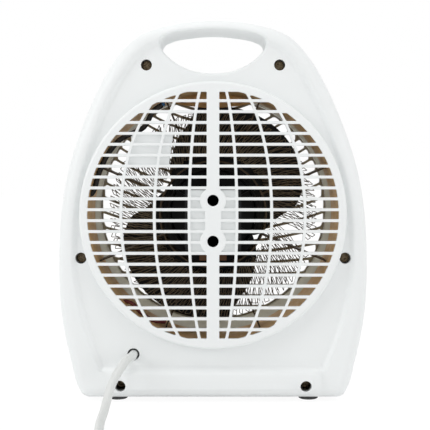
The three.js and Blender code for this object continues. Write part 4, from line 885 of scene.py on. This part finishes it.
def central_edge(h):
    """Half width of the middle rib at height h above the axis: straight, wider between the bosses, or round them."""
    edge = np.where((h < MOUNTS[0]) & (h > MOUNTS[1]), 5.6, 4.4)
    for mount in MOUNTS:
        edge = np.maximum(edge, np.sqrt(np.maximum(9.1**2 - (h - mount) ** 2, 0)))
    return edge


def meridian(width, h):
    """Ellipse of that half width at the axis and of half height MERIDIAN_REACH."""
    return width * np.sqrt(1 - (h / MERIDIAN_REACH) ** 2)


def rear_cells():
    """The four cells of each half row: sides follow the rib, the ellipses and the duct, at seven heights."""
    cells = []
    for row in range(-11, 12):
        h = np.linspace(max(row * ROW_PITCH - ROW_HEIGHT / 2, -86), min(row * ROW_PITCH + ROW_HEIGHT / 2, 86), 7)
        edges = [central_edge(h)]
        for width in MERIDIANS:
            edges += [meridian(width, h) - 1, meridian(width, h) + 1]
        edges.append(np.sqrt(np.maximum(CELL_RADIUS**2 - h**2, 0)))
        for near, far in zip(edges[::2], edges[1::2]):
            far = np.minimum(far, edges[-1])
            open_at = far - near > 1.2
            if open_at.sum() < 3:
                continue
            for side in (1, -1):
                right = np.stack([side * far[open_at], AXIS + h[open_at]], axis=1)
                left = np.stack([side * near[open_at], AXIS + h[open_at]], axis=1)
                cells.append(rounded(np.vstack([left, right[::-1]]), 0.7))
    return cells


REAR_CELLS = rear_cells()


def make_rear_cover():
    """Edge band, panel, ring, grille plate with its cells, plates, posts and skirt."""
    depth = cover_depth
    screws = [(circle(3.9, x, z, 40), 0.4, 12.0) for x, z in CASE_SCREWS]
    cord_hole = (circle(4.2, *CORD_HOLE, 40), 0.5, PANEL + WALL)
    ring_hole = (circle(RING + RING_FILLET, count=RING_COUNT), 0, None)
    made = edge_band(depth, 1, SEAM, COVER_DRAFT, COVER_ROUND, 2.65, WALL)
    made += pierced(OUTLINE - loop_normals(OUTLINE) * 2.65, [(HANDLE, 2.0, SEAM), *screws, cord_hole, ring_hole],
                    depth, 1, spacing=1.7, inner=WALL)
    made += ring_band(depth)
    seats = [(circle(4.0, 0, AXIS + h, 40), 0.6, 5.5) for h in MOUNTS]
    face = RING - RING_ROUND
    flat = [(loop, 0.45, -1.2) for loop in REAR_CELLS]
    level = lambda spots: np.full(len(spots), RING_CREST)
    made += pierced(circle(face, count=RING_COUNT), [*flat, *seats], level, 1)
    inner_level = lambda spots: np.full(len(spots), -1.2)
    made += pierced(circle(face, count=RING_COUNT), [(loop, 0, None) for loop in REAR_CELLS], inner_level, -1)
    for x, z in CASE_SCREWS:
        made += lathe([(3.9, 12), (0, 12)], x, z, sides=40)
        made += lathe([(0, 14.4), (5.6, 14.4), (5.6, PANEL + WALL)], x, z, sides=40)
    for h in MOUNTS:
        made += lathe([(4, 5.5), (0, 5.5)], 0, AXIS + h, sides=40)
        made += lathe([(0, 8.7), (5.5, 8.7), (5.5, -1.2)], 0, AXIS + h, sides=40)
    made += lathe([(89.4, -1.2), (89.4, 19.6), (89.8, 20), (90.9, 20), (91.3, 19.6), (91.3, -1.2)], sides=144)
    made += box_block(-16, 16, -1.2, 1.0, AXIS - 26.4, AXIS + 17.6, 0.3)
    made += slab([[31, 34], [59.5, 34], [56.5, 56], [28, 56]], -1.2, 1.0)
    made += box_block(44, 68, PANEL + 1, 34, 24.9, 30.6, 0.4)
    return mesh_piece("rear_cover_moulding", made, casing_white, slot="white_plastic", stands_for=("rear_cover",))


def slab(corners, start, end):
    """A flat plate with upright sides between two depths, from corners relative to the axis."""
    loop = np.array(corners, dtype=float) + (0, AXIS)
    made = pierced(loop, [], lambda spots: np.full(len(spots), start), 1)
    made += pierced(loop, [], lambda spots: np.full(len(spots), end), -1)
    for here, after in zip(loop, np.roll(loop, -1, 0)):
        run = after - here
        out = np.array([run[1], 0, -run[0]]) * np.sign(np.cross(run, loop.mean(0) - here)) * 1.0
        side = np.array([at(*[np.array([p[0], p[0]]), np.array([start, end]), np.array([p[1], p[1]])])
                         for p in (here, after)])
        made.append(sheet(side, out))
    return made


make_rear_cover()


def make_front_shell():
    """Edge band, face with its openings, and the posts that take the case screws."""
    mouth = circle(DUCT, count=RING_COUNT)
    openings = [(HANDLE, 2.0, SEAM), (mouth, MOUTH_ROUND, None)]
    openings += [(circle(4.8, x, 24, 40), 0.4, 99.0) for x in (44, -44)] + [(circle(4.2, 0, 24, 40), 0.4, 99.0)]
    made = edge_band(shell_depth, -1, SEAM, FRONT_DRAFT, FRONT_ROUND, 3.6, WALL)
    made += pierced(OUTLINE - loop_normals(OUTLINE) * 3.6, openings, shell_depth, -1, spacing=2.2, inner=WALL)
    for x, z in CASE_SCREWS:
        reach = float(shell_depth(np.array([[x, z]]))[0]) - WALL
        made += lathe([(4.6, reach), (4.6, 14.6), (2.0, 14.6), (2.0, reach)], x, z, sides=32)
    return mesh_piece("front_shell_moulding", made, casing_white, slot="white_plastic", stands_for=("front_shell",))


make_front_shell()


def make_sleeve():
    """The duct's inner face, from the rounded mouth back to the liner, and the liner's seat at its end, in painted
    shade.
    """
    mouth = circle(DUCT, count=RING_COUNT)
    away = loop_normals(mouth)
    inward = np.stack([-away[:, 0], 0 * away[:, 0], -away[:, 1]], axis=1)
    outer = mouth + away * SLEEVE_WALL
    end = shell_depth(mouth) - MOUTH_ROUND
    face = at(mouth[:, 0], SLEEVE_REAR + (end - SLEEVE_REAR) * np.linspace(0, 1, 7)[:, None], mouth[:, 1])
    lip = np.stack([at(loop[:, 0], SLEEVE_REAR, loop[:, 1]) for loop in (mouth, outer)])
    back = np.stack([at(outer[:, 0], level, outer[:, 1]) for level in (SLEEVE_REAR, end - WALL + MOUTH_ROUND)])
    made = [sheet(face, inward, True), sheet(lip, (0, 1, 0), True), sheet(back, -inward, True)]
    return mesh_piece("duct_sleeve_moulding", made, sleeve_painted_shade, slot="white_plastic", stands_for=("front_shell",))


make_sleeve()


# Front grille: smile-shaped bars in a leaning ring
GRILLE_RADIUS = 87.7
GRILLE_PITCH = 8.55
GRILLE_OPENING, GRILLE_BAR, GRILLE_HALF = 86.4, 1.1, 1.75
FRONT_LEAN = -0.2


def grille_bar(h, x):
    """Height of a bar that crosses the middle at h: h plus a sag that grows with height, times the square of x."""
    return h + np.maximum(24 + 0.42 * h, 0) * (x / DUCT) ** 2


def front_cells():
    """The openings between two neighbouring bars, on either side of the middle rib, inside the rim."""
    cells = []
    for row in range(-15, 11):
        for side in (1, -1):
            x = np.linspace(1.6, 86.0, 49)
            rim = np.sqrt(GRILLE_OPENING**2 - x**2)
            bottom = np.maximum(grille_bar(row * GRILLE_PITCH, x) + GRILLE_BAR, -rim)
            top = np.minimum(grille_bar((row + 1) * GRILLE_PITCH, x) - GRILLE_BAR, rim)
            wide = top - bottom > 1.3
            if wide.sum() < 4:
                continue
            first, last = np.flatnonzero(wide)[[0, -1]]
            part = slice(first, last + 1)
            lower = np.stack([side * x[part], AXIS + bottom[part]], axis=1)
            upper = np.stack([side * x[part], AXIS + top[part]], axis=1)
            cells.append(rounded(np.vstack([lower, upper[::-1]]), 0.9))
    return cells


def make_front_grille():
    """Both faces of the leaning disc with rounded openings, and its edge."""
    def level(offset):
        """The disc's middle depth plus an offset, leaning with height."""
        return lambda spots: front_at(AXIS) - 1.9 + offset + FRONT_LEAN * (spots[:, 1] - AXIS)

    rim = circle(GRILLE_RADIUS, count=192)
    openings = [(loop, 0.7, level(0)) for loop in front_cells()]
    made = pierced(rim, openings, level(GRILLE_HALF), -1, steps=4)
    made += pierced(rim, openings, level(-GRILLE_HALF), 1, steps=4)
    edge = np.stack([at(rim[:, 0], level(offset)(rim), rim[:, 1]) for offset in (-GRILLE_HALF, GRILLE_HALF)])
    away = loop_normals(rim)
    made.append(sheet(edge, np.stack([away[:, 0], 0 * away[:, 0], away[:, 1]], axis=1), True))
    return mesh_piece("front_grille_moulding", made, grille_white, slot="white_plastic", stands_for=("front_grille",))


make_front_grille()


# Duct: mica liner, heating wires and fan
def make_liner():
    """The band, and at its top a thin segment between its circle and a nearly level edge."""
    profile = [(88.0, -0.9), (88.0, 46.7), (89.0, 46.7), (89.0, -0.9), (88.0, -0.9)]
    x = np.linspace(-33, 33, 45)
    arc = np.sqrt(88.0**2 - x**2)
    edge = np.minimum(np.interp(np.abs(x), [0, 6, 19, 25, 31, 33], [77.8, 77.9, 79.2, 80.4, 81.6, 81.6]), arc - 0.05)
    segment = np.vstack([np.stack([x, AXIS + edge], axis=1), np.stack([x, AXIS + arc], axis=1)[::-1]])
    made = lathe(profile[::-1], sides=192)
    made += pierced(segment, [], lambda spots: np.full(len(spots), 43.6), 1)
    made += pierced(segment, [], lambda spots: np.full(len(spots), 44.4), -1)
    lip = np.stack([at(x, 43.6, AXIS + edge), at(x, 44.4, AXIS + edge)])
    made.append(sheet(lip, (0, 0, -1.0)))
    return mesh_piece("mica_liner_band", made, mica_tan, slot="tan_mica", stands_for=("duct_liner",))


make_liner()


WIRE_LEGS, WIRE_RADIUS, WIRE_INNER, WIRE_OUTER = 184, 0.28, 43.0, 73.2


def wire_layer(name, node, depth, turn, lean):
    """A zigzag of straight, near-radial legs: leg k runs at angle k times the step, out on even k and back on odd
    k, each leaning by the layer's angle times its share of the reach; the steps and the ends vary a little."""
    step = math.radians(352) / WIRE_LEGS
    k = np.arange(WIRE_LEGS)
    start = math.radians(turn)
    inner = WIRE_INNER + 0.8 * np.sin(1.7 * k)
    outer = WIRE_OUTER + 1.0 * np.sin(2.9 * k + 1)
    angle = start + step * (k + 0.16 * np.sin(3.7 * k) + 0.3 * np.sin(0.31 * k))
    rows = []
    for share in (0.0, 0.012, 0.5, 0.988, 1.0):
        along = np.where(k % 2 == 0, share, 1 - share)
        radius = inner + (outer - inner) * along
        bent = angle + math.radians(lean) * along
        wave = depth + 0.3 * np.sin(k * 2.4 + 2 * along)
        rows.append(at(radius * np.cos(bent), wave, AXIS + radius * np.sin(bent)))
    path = np.stack(rows, axis=1).reshape(-1, 3)
    return mesh_piece(name, [tube(path, WIRE_RADIUS, 6, round_end=False)], wire_oxide, slot="heating_alloy",
                      stands_for=(node,))


wire_layer("heating_wire_zigzag_rear", "heating_wire_rear", 12.2, -166, 9)
wire_layer("heating_wire_zigzag_front", "heating_wire_front", 36.8, -174, 20)


BLADE_ROOT = 33
# Angle of the blade's two edges at each radius, and the radius of its tip at shares of the way across
BLADE_FRONT = [(33, -32), (38, -26), (43, -15), (48, -6), (55, 0), (62, 4), (66, 9), (70, 15), (74, 20)]
BLADE_REAR = [(33, 150), (42, 139), (48, 131), (54, 123), (60, 116), (66, 108), (73, 102), (83, 99)]
BLADE_TIP = ([0, 0.1, 0.2, 0.3, 0.4, 0.5, 0.65, 0.94, 1], [73.3, 75.2, 76.8, 78.2, 79.2, 79.8, 80.0, 80.0, 79.2])
SECTION_SPOTS, EDGE_SPOTS = 33, 5


def along_blade(table, radius):
    """A value at each radius, by a curve through the table of (radius, value)."""
    knots = curve(table, 8)
    return np.interp(radius, knots[:, 0], knots[:, 1])


def blade_section():
    """Once round the blade's section, as (share across, share through): the rear face, a round leading edge, the
    front face and a round trailing edge."""
    across = 0.5 - 0.5 * np.cos(np.linspace(0, np.pi, SECTION_SPOTS))
    arc = np.linspace(-np.pi / 2, np.pi / 2, EDGE_SPOTS + 2)[1:-1]
    lead = np.stack([1 + 0.006 * np.cos(arc), 0.5 + 0.5 * np.sin(arc)], axis=1)
    trail = np.stack([-0.006 * np.cos(arc), 0.5 - 0.5 * np.sin(arc)], axis=1)
    rear_face = np.stack([across, 0 * across], axis=1)
    return np.vstack([rear_face, lead, np.stack([across[::-1], 0 * across + 1], axis=1), trail])


def fan_blade(turn):
    """A point at reach r and share s across lies at an angle between the two edges' angles, at depth
    46.8 + 12.6 (1 - s)^1.15, half the sheet before or behind it; the sheet thins from 2.2 mm at the root to 1.5 mm
    and a rounded tip."""
    section = blade_section()
    reach = np.concatenate([np.linspace(0, 0.985, 40), [0.994, 1.0]])[:, None]
    share, through = section[:, 0], section[:, 1]
    radius = BLADE_ROOT + (np.interp(share, *BLADE_TIP) - BLADE_ROOT) * reach
    front, rear = along_blade(BLADE_FRONT, radius), along_blade(BLADE_REAR, radius)
    angle = np.radians(front + (rear - front) * share + turn)
    thick = np.interp(reach, [0, 0.985, 0.994, 1], [2.2, 1.5, 1.1, 0.5])
    level = 46.8 + 12.6 * np.clip(1 - share, 0, 1) ** 1.15 + (through - 0.5) * thick
    x, z = -radius * np.cos(angle), AXIS + radius * np.sin(angle)
    points = at(x, level, z)
    # The tip is closed once, from the middle of the trailing edge to the middle of the leading one
    count, middle = len(share), 2 * SECTION_SPOTS + EDGE_SPOTS + EDGE_SPOTS // 2
    run = np.arange(SECTION_SPOTS + EDGE_SPOTS + 1)
    below, above = (middle + run) % count, (middle - run) % count
    edge = points[-1][np.array([below, above])]
    spoke = unit(np.stack([x, 0 * x, z - AXIS], axis=-1))
    facing = np.where(through[None, :, None] > 0.5, 1, -1) * np.array([0, -1.0, 0])
    return [grid(points, facing, wrap_columns=True), grid(edge, spoke[-1][below])]


def make_fan():
    """A cup open to the rear on a ribbed hub, with two broad blades."""
    cup = [(2.3, 45.9), (5.4, 45.9), (6.0, 46.5), (6.0, 52.0), (7.2, 53.2), (31.2, 53.2), (32.0, 52.4), (32.0, 46.2),
           (32.4, 45.8), (33.6, 45.8), (34.0, 46.2), (34.0, 59.2), (33.0, 60.6), (31.2, 61.0), (7.0, 61.0),
           (6.4, 60.6), (2.3, 60.6), (2.3, 45.9)]
    made = lathe(cup, sides=120)
    for k in range(6):
        turn = math.radians(60 * k + 30)
        across = np.array([-math.sin(turn), math.cos(turn)])
        outward = np.array([math.cos(turn), math.sin(turn)])
        for side in (1, -1):
            face = []
            for radius in (5.8, 32.2):
                spot = outward * radius + across * side * 0.6
                face.append(at(np.full(2, spot[0]), np.array([47.4, 53.4]), np.full(2, AXIS + spot[1])))
            normal = np.array([across[0], 0, across[1]]) * side
            face = np.array(face)
            made.append(sheet(face, normal))
        edge = []
        for radius in (5.8, 32.2):
            spots = [outward * radius + across * side * 0.6 for side in (1, -1)]
            edge.append(at(np.array([s[0] for s in spots]), 47.4, AXIS + np.array([s[1] for s in spots])))
        edge = np.array(edge)
        made.append(sheet(edge, (0, 1.0, 0)))
    made += fan_blade(0) + fan_blade(180)
    return mesh_piece("fan_moulding", made, fan_black, body="fan_rotor", slot="black_plastic", stands_for=("fan",))


make_fan()


# Screws, sensor, leads
def cross_head(radius, height, x, depth, z, recess, turn=0.3, rings=18, sides=64):
    """A domed head as a polar grid: the dome falls with the square of the radius and turns down at its rim; a cross
    with tapered arms is sunk in it."""
    share = np.concatenate([np.linspace(0.02, 0.94, rings), [0.98, 1.0, 1.0]])[:, None]
    fall = np.concatenate([np.zeros(rings), [0.08, 0.3, 1.0]])[:, None]
    angle = np.linspace(0, 2 * np.pi, sides, endpoint=False) + turn
    across, up = radius * share * np.cos(angle - turn), radius * share * np.sin(angle - turn)
    width = 0.16 * radius * (1.2 - 0.6 * share)
    arm = np.minimum(np.abs(across), np.abs(up))
    reach = np.maximum(np.abs(across), np.abs(up)) / radius
    sunk = recess * (1 - smooth(arm, width * 0.7, width * 1.1)) * (1 - smooth(reach, 0.45, 0.62))
    level = depth - height * (1 - 0.35 * share**2) * (1 - fall) + sunk
    points = at(x + radius * share * np.cos(angle), level, z + radius * share * np.sin(angle))
    return [grid(points, (0, 1.0, 0), wrap_columns=True),
            *lathe([(radius * 0.02, depth - height + recess), (0, depth - height + recess)], x, z, sides=sides)]


def make_screws():
    """Six case screws with long pointed shanks, and two screws in the motor's mounts."""
    names = ("top_left", "top_right", "side_left", "side_right", "bottom_left", "bottom_right")
    turns = (0.3, 0.9, 1.3, 0.1, 0.6, 1.1)
    for name, turn, (x, z) in zip(names, turns, CASE_SCREWS):
        made = cross_head(SCREW_HEAD, 3.4, x, SCREW_SEAT, z, 1.3, turn)
        shank = [(SCREW_HEAD, SCREW_SEAT), (SCREW_SHANK, SCREW_SEAT), (SCREW_SHANK, 22.5), (0.6, 25.2), (0, 26)]
        made += lathe(shank, x, z, sides=32)
        mesh_piece(f"case_screw_{name}_turned", made, screw_bronze, slot="bronzed_steel",
                   stands_for=(f"case_screw_{name}",))
    for name, h in (("upper", MOUNTS[0]), ("lower", MOUNTS[1])):
        made = cross_head(3.4, 2.0, 0, 5.5, AXIS + h, 1.0, 0.5)
        made += lathe([(3.4, 5.5), (1.9, 5.5), (1.9, 12.3), (0, 12.3)], 0, AXIS + h, sides=32)
        mesh_piece(f"motor_screw_{name}_turned", made, dark_steel, slot="steel", stands_for=(f"motor_screw_{name}",))


make_screws()


def ring_spot(angle, radius, depth):
    """A point of a lead's route, by its angle and radius about the duct's axis."""
    turn = math.radians(angle)
    return [radius * math.cos(turn), REAR - depth, AXIS + radius * math.sin(turn)]


def lead(name, spots, radius, material, slot, node, sides=14, steps=14):
    """A round tube along a curve through the spots."""
    path = evenly(curve(spots, steps), len(spots) * steps)
    return mesh_piece(name, [tube(path, radius, sides)], material, slot=slot, stands_for=(node,) if node else ())


def make_leads():
    """Black sleeving along the duct from the casing to the blue crimp, and a red lead to a tab on the frame."""
    turns = [(9, 94), (9, 90), (9.6, 87.6), (12, 86.1), (17, 86.0), (23, 86.0), (28, 86.0), (33, 85.6), (38, 84.9),
             (43, 82.6), (47.5, 79.9), (51.5, 79.0), (55, 80.6), (58, 83.2), (61, 85.0), (64.8, 85.6)]
    lead("sensor_sleeving", [ring_spot(turn, radius, 9) for turn, radius in turns], 1.9, sleeve_black,
         "black_sleeving", "sensor_loom")
    lead("crimp_insulation", [ring_spot(turn, 85.9, 9) for turn in (64.6, 65.1, 65.6, 66.1)], 1.5, wire_blue,
         "blue_insulation", "crimp_sleeve")
    lead("element_lead_red", [
        [51, REAR - 79, 29], [52, REAR - 70, 27], [60, REAR - 52, 33], [72, REAR - 30, 44], [75, REAR - 14, 56],
        ring_spot(-43.5, 90.5, 9.5), ring_spot(-45, 87, 9), ring_spot(-48, 85.2, 9), ring_spot(-52.5, 86.2, 9),
        ring_spot(-57, 86.6, 10), ring_spot(-62, 86.2, 12), ring_spot(-66, 84.5, 16)], 1.3, wire_red,
        "red_insulation", "element_lead")


make_leads()


def make_cutout():
    """A bimetal disc cut-out: stem, cup with a rolled rim and a stepped lid."""
    x, z, start = 52.5, AXIS + 43.5, 1.1
    profile = [(0, 8.7), (3.0, 8.7), (3.4, 8.4), (3.4, 7.9), (6.3, 7.7), (6.9, 7.2), (7.0, 6.6), (7.0, 4.6),
               (6.6, 4.0), (6.0, 3.7), (2.6, 3.7), (2.6, start), (0, start)]
    made = lathe(profile, x, z, sides=56)
    return mesh_piece("thermal_cutout_case", made, bakelite, slot="black_plastic", stands_for=("thermal_cutout",))


make_cutout()


# Controls and feet
CONTROL_HEIGHT, CONTROL_SPREAD = 24.0, 44.0


def make_knob(name, x):
    """A flared skirt with 20 flutes that fade to both ends: radius times 1 - 0.03 (1 - |cos 10 angle|)^1.6. A dished
    top, a rounded grip across it and a pointer line close it."""
    z, body = CONTROL_HEIGHT, f"{name}_control"
    rise = np.array([[14.9, 104.3], [15.0, 104.8], [14.8, 106.5], [14.2, 111.5], [13.9, 114.2], [13.6, 115.0],
                     [12.9, 115.6], [11.9, 115.8]])
    angle = np.linspace(0, 2 * np.pi, 192, endpoint=False)
    rows = curve(rise, 5)
    strength = 0.03 * smooth(rows[:, 1], 105, 107.5) * (1 - smooth(rows[:, 1], 113.4, 115.3))
    radius = rows[:, :1] * (1 - strength[:, None] * (1 - np.abs(np.cos(10 * angle))) ** 1.6)
    points = at(x + radius * np.cos(angle), rows[:, 1:], z + radius * np.sin(angle))
    out = unit(np.stack([np.cos(angle), 0 * angle, np.sin(angle)], axis=1))
    made = [grid(points, out[None] + (0, -0.3, 0), wrap_columns=True)]
    made += lathe(curve([[11.9, 115.8], [9, 115.35], [5, 115.1], [0, 115.0]], 5), x, z, sides=192, smooth=True)
    made += lathe([(14.9, 104.3), (13.0, 104.3), (13.0, 113.0), (0, 113.0)][::-1], x, z, sides=64)
    made += grip_bar(x, z)
    knob = mesh_piece(f"{name}_knob_moulding", made, knob_black, body=body, slot="black_plastic",
                      stands_for=(f"{name}_knob",))
    line = mesh_piece(f"{name}_pointer", box_block(x - 0.5, x + 0.5, 117.3, 118.0, z + 4.0, z + 12.4, 0.15),
                      casing_white, body=body, slot="white_plastic")
    return knob, line


def grip_bar(x, z):
    """With e = sqrt(1 - t^6) along the grip and u across it, each from -1 to 1: its half width is
    2.9 (0.35 + 0.65 e), and it rises 3.3 e (1 - |u|^5) from depth 114.6."""
    along = np.linspace(-1, 1, 33)
    across = np.linspace(-1, 1, 21)
    ends = np.sqrt(np.maximum(1 - along**6, 0))[:, None]
    half = 2.9 * (0.35 + 0.65 * ends)
    level = 114.6 + 3.3 * ends * (1 - np.abs(across) ** 5)
    points = at(x + half * across, level, z + 12.9 * along[:, None] + 0 * across)
    return [grid(points, (0, -1.0, 0))]


def make_controls():
    """Each knob with its dial marks, long ones where the sweep's main steps are, and the indicator's domed lens."""
    dials = (("thermostat", -CONTROL_SPREAD, 300, 10, (0, 5, 10)), ("selector", CONTROL_SPREAD, 270, 3, range(4)))
    for name, x, sweep, steps, main in dials:
        make_knob(name, x)
        marks = []
        for k in range(steps + 1):
            turn = math.radians(90 - sweep * k / steps)
            marks += dial_mark(x, CONTROL_HEIGHT, turn, 17.4, 17.4 + (2.6 if k in main else 1.5))
        mesh_piece(f"{name}_dial_marks", marks, knob_black, slot="black_plastic")
    lens = curve([[4.0, 101.6], [4.0, 104.6], [3.8, 105.1], [3.0, 105.6], [1.6, 105.95], [0, 106.05]], 5)
    made = lathe(lens[::-1], 0, CONTROL_HEIGHT, smooth=True)
    made += lathe([(0, 100.1), (5.6, 100.1), (5.6, 101.5), (4.0, 101.6)], 0, CONTROL_HEIGHT)
    mesh_piece("indicator_lens_dome", made, lens_red, slot="red_lens", stands_for=("indicator_lens",))


def dial_mark(x, z, turn, near, far):
    """A low raised bar 0.25 mm proud of the face, 0.8 mm wide, along a spoke of the dial."""
    spoke = np.array([math.cos(turn), math.sin(turn)])
    across = np.array([-spoke[1], spoke[0]]) * 0.4
    base = np.array([x, z])
    corners = np.array([base + spoke * near - across, base + spoke * far - across, base + spoke * far + across,
                        base + spoke * near + across])
    face = front_at(corners[:, 1]) + 0.25
    top = at(corners[:, 0], face, corners[:, 1])
    made = [surface(top, np.array([[0, 1, 2, 3]]), np.broadcast_to((0, -1.0, 0), top.shape))]
    foot = at(corners[:, 0], face - 0.6, corners[:, 1])
    for k in range(4):
        other = (k + 1) % 4
        side = np.array([[top[k], foot[k]], [top[other], foot[other]]])
        out = (top[k] + top[other]) / 2 - top.mean(0)
        made.append(sheet(side, out))
    return made


make_controls()


def make_feet():
    """Round rubber feet with a rolled edge and a dished sole."""
    for row, (across, depth) in (("rear", (68.2, 18.0)), ("front", (66.0, 84.0))):
        for side, hand in ((1, "left"), (-1, "right")):
            top = float(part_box(f"foot_{row}_{hand}")[1][2]) * 1000
            profile = [(0, 0.5), (4.2, 0.4), (4.8, 0.0), (6.3, 0.0), (6.8, 0.3), (7.0, 0.9), (7.0, top), (0, top)]
            made = lathe(profile, side * across, along="z", origin=depth, sides=48)
            mesh_piece(f"foot_{row}_{hand}_moulding", made, foot_rubber, slot="foot_rubber",
                       stands_for=(f"foot_{row}_{hand}",))


make_feet()


# Pieces whose solids already have the right shape: only their finish changes
FINISHES = {
    "heater_frame": mica_brown, "motor_stack": stack_dark, "motor_coil": coil_copper,
    "motor_bracket_rear": dark_steel, "motor_bracket_front": dark_steel, "bearing_rear": brass_bright,
    "bearing_front": brass_bright, "motor_rotor": zinc_steel, "motor_shaft": zinc_steel,
    "tie_screw_left": zinc_steel, "tie_screw_right": zinc_steel, "fan_collar": zinc_steel,
    "cord_clamp": casing_white, "clamp_screw_left": zinc_steel, "clamp_screw_right": zinc_steel,
    "terminal_block": porcelain, "live_lead": wire_red, "neutral_lead": wire_blue,
    "thermostat_body": porcelain, "selector_body": porcelain, "thermostat_nut": brass_bright,
    "selector_nut": brass_bright, "thermostat_spindle": zinc_steel, "selector_spindle": zinc_steel,
    "indicator_lamp": lamp_glass,
}


def dress_solids():
    """Every material slot of the listed solids gets its finish."""
    for name, material in FINISHES.items():
        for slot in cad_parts[name].material_slots:
            slot.material = material


dress_solids()


# Stage: floor, background and soft light
LAMPS = (("key lamp", (1.8, 0.95, 1.0), 1.1, 9.5), ("fill lamp", (-1.8, 1.0, 0.35), 1.4, 7.0),
         ("top lamp", (0.1, 0.4, 2.2), 1.5, 11.0), ("front lamp", (0.3, -1.6, 1.4), 1.4, 6.0))
FLOOR_HALF, FLOOR_WHITE, SURROUND, LAMP_AIM = 6, 0.88, 0.67, (0, 0, 0.13)


def seen_directly(tree):
    """1 for camera, glossy and transmission rays, which see the white background, and 0 for all others."""
    path = add(tree, "LightPath").outputs
    seen = maths(tree, "MAXIMUM", path["Is Camera Ray"], path["Is Glossy Ray"])
    return maths(tree, "MAXIMUM", seen, path["Is Transmission Ray"])


def make_stage():
    """A pale floor that keeps the shadow, a white surround for the camera and four soft lamps."""
    floor = bpy.data.materials.new("floor")
    floor.use_nodes = True
    tree = floor.node_tree
    shader = tree.nodes["Principled BSDF"]
    shader.inputs["Base Color"].default_value = (0.95, 0.95, 0.95, 1)
    shader.inputs["Roughness"].default_value = 0.8
    white = add(tree, "Emission", {"Color": (1, 1, 1, 1), "Strength": 1.06})
    mix = add(tree, "MixShader", {0: maths(tree, "MULTIPLY", seen_directly(tree), FLOOR_WHITE)})
    tree.links.new(shader.outputs[0], mix.inputs[1])
    tree.links.new(white.outputs[0], mix.inputs[2])
    tree.links.new(mix.outputs[0], tree.nodes["Material Output"].inputs["Surface"])
    mesh = bpy.data.meshes.new("floor")
    corners = [(x * FLOOR_HALF, y * FLOOR_HALF, 0) for x, y in ((-1, -1), (1, -1), (1, 1), (-1, 1))]
    mesh.from_pydata(corners, [], [(0, 1, 2, 3)])
    mesh.materials.append(floor)
    plane = bpy.data.objects.new("floor", mesh)
    bpy.context.collection.objects.link(plane)

    world = bpy.data.worlds.new("surround")
    bpy.context.scene.world = world
    world.use_nodes = True
    tree = world.node_tree
    strength = add(tree, "MapRange", {"Value": seen_directly(tree), "To Min": SURROUND, "To Max": 1.0}).outputs[0]
    back = tree.nodes["Background"]
    back.inputs["Color"].default_value = (1, 1, 1, 1)
    tree.links.new(strength, back.inputs["Strength"])

    for name, place, size, power in LAMPS:
        light = bpy.data.lights.new(name, "AREA")
        light.shape, light.size, light.energy = "DISK", size, power
        lamp = bpy.data.objects.new(name, light)
        lamp.location = place
        lamp.rotation_euler = (Vector(LAMP_AIM) - Vector(place)).to_track_quat("-Z", "Y").to_euler()
        bpy.context.collection.objects.link(lamp)


make_stage()
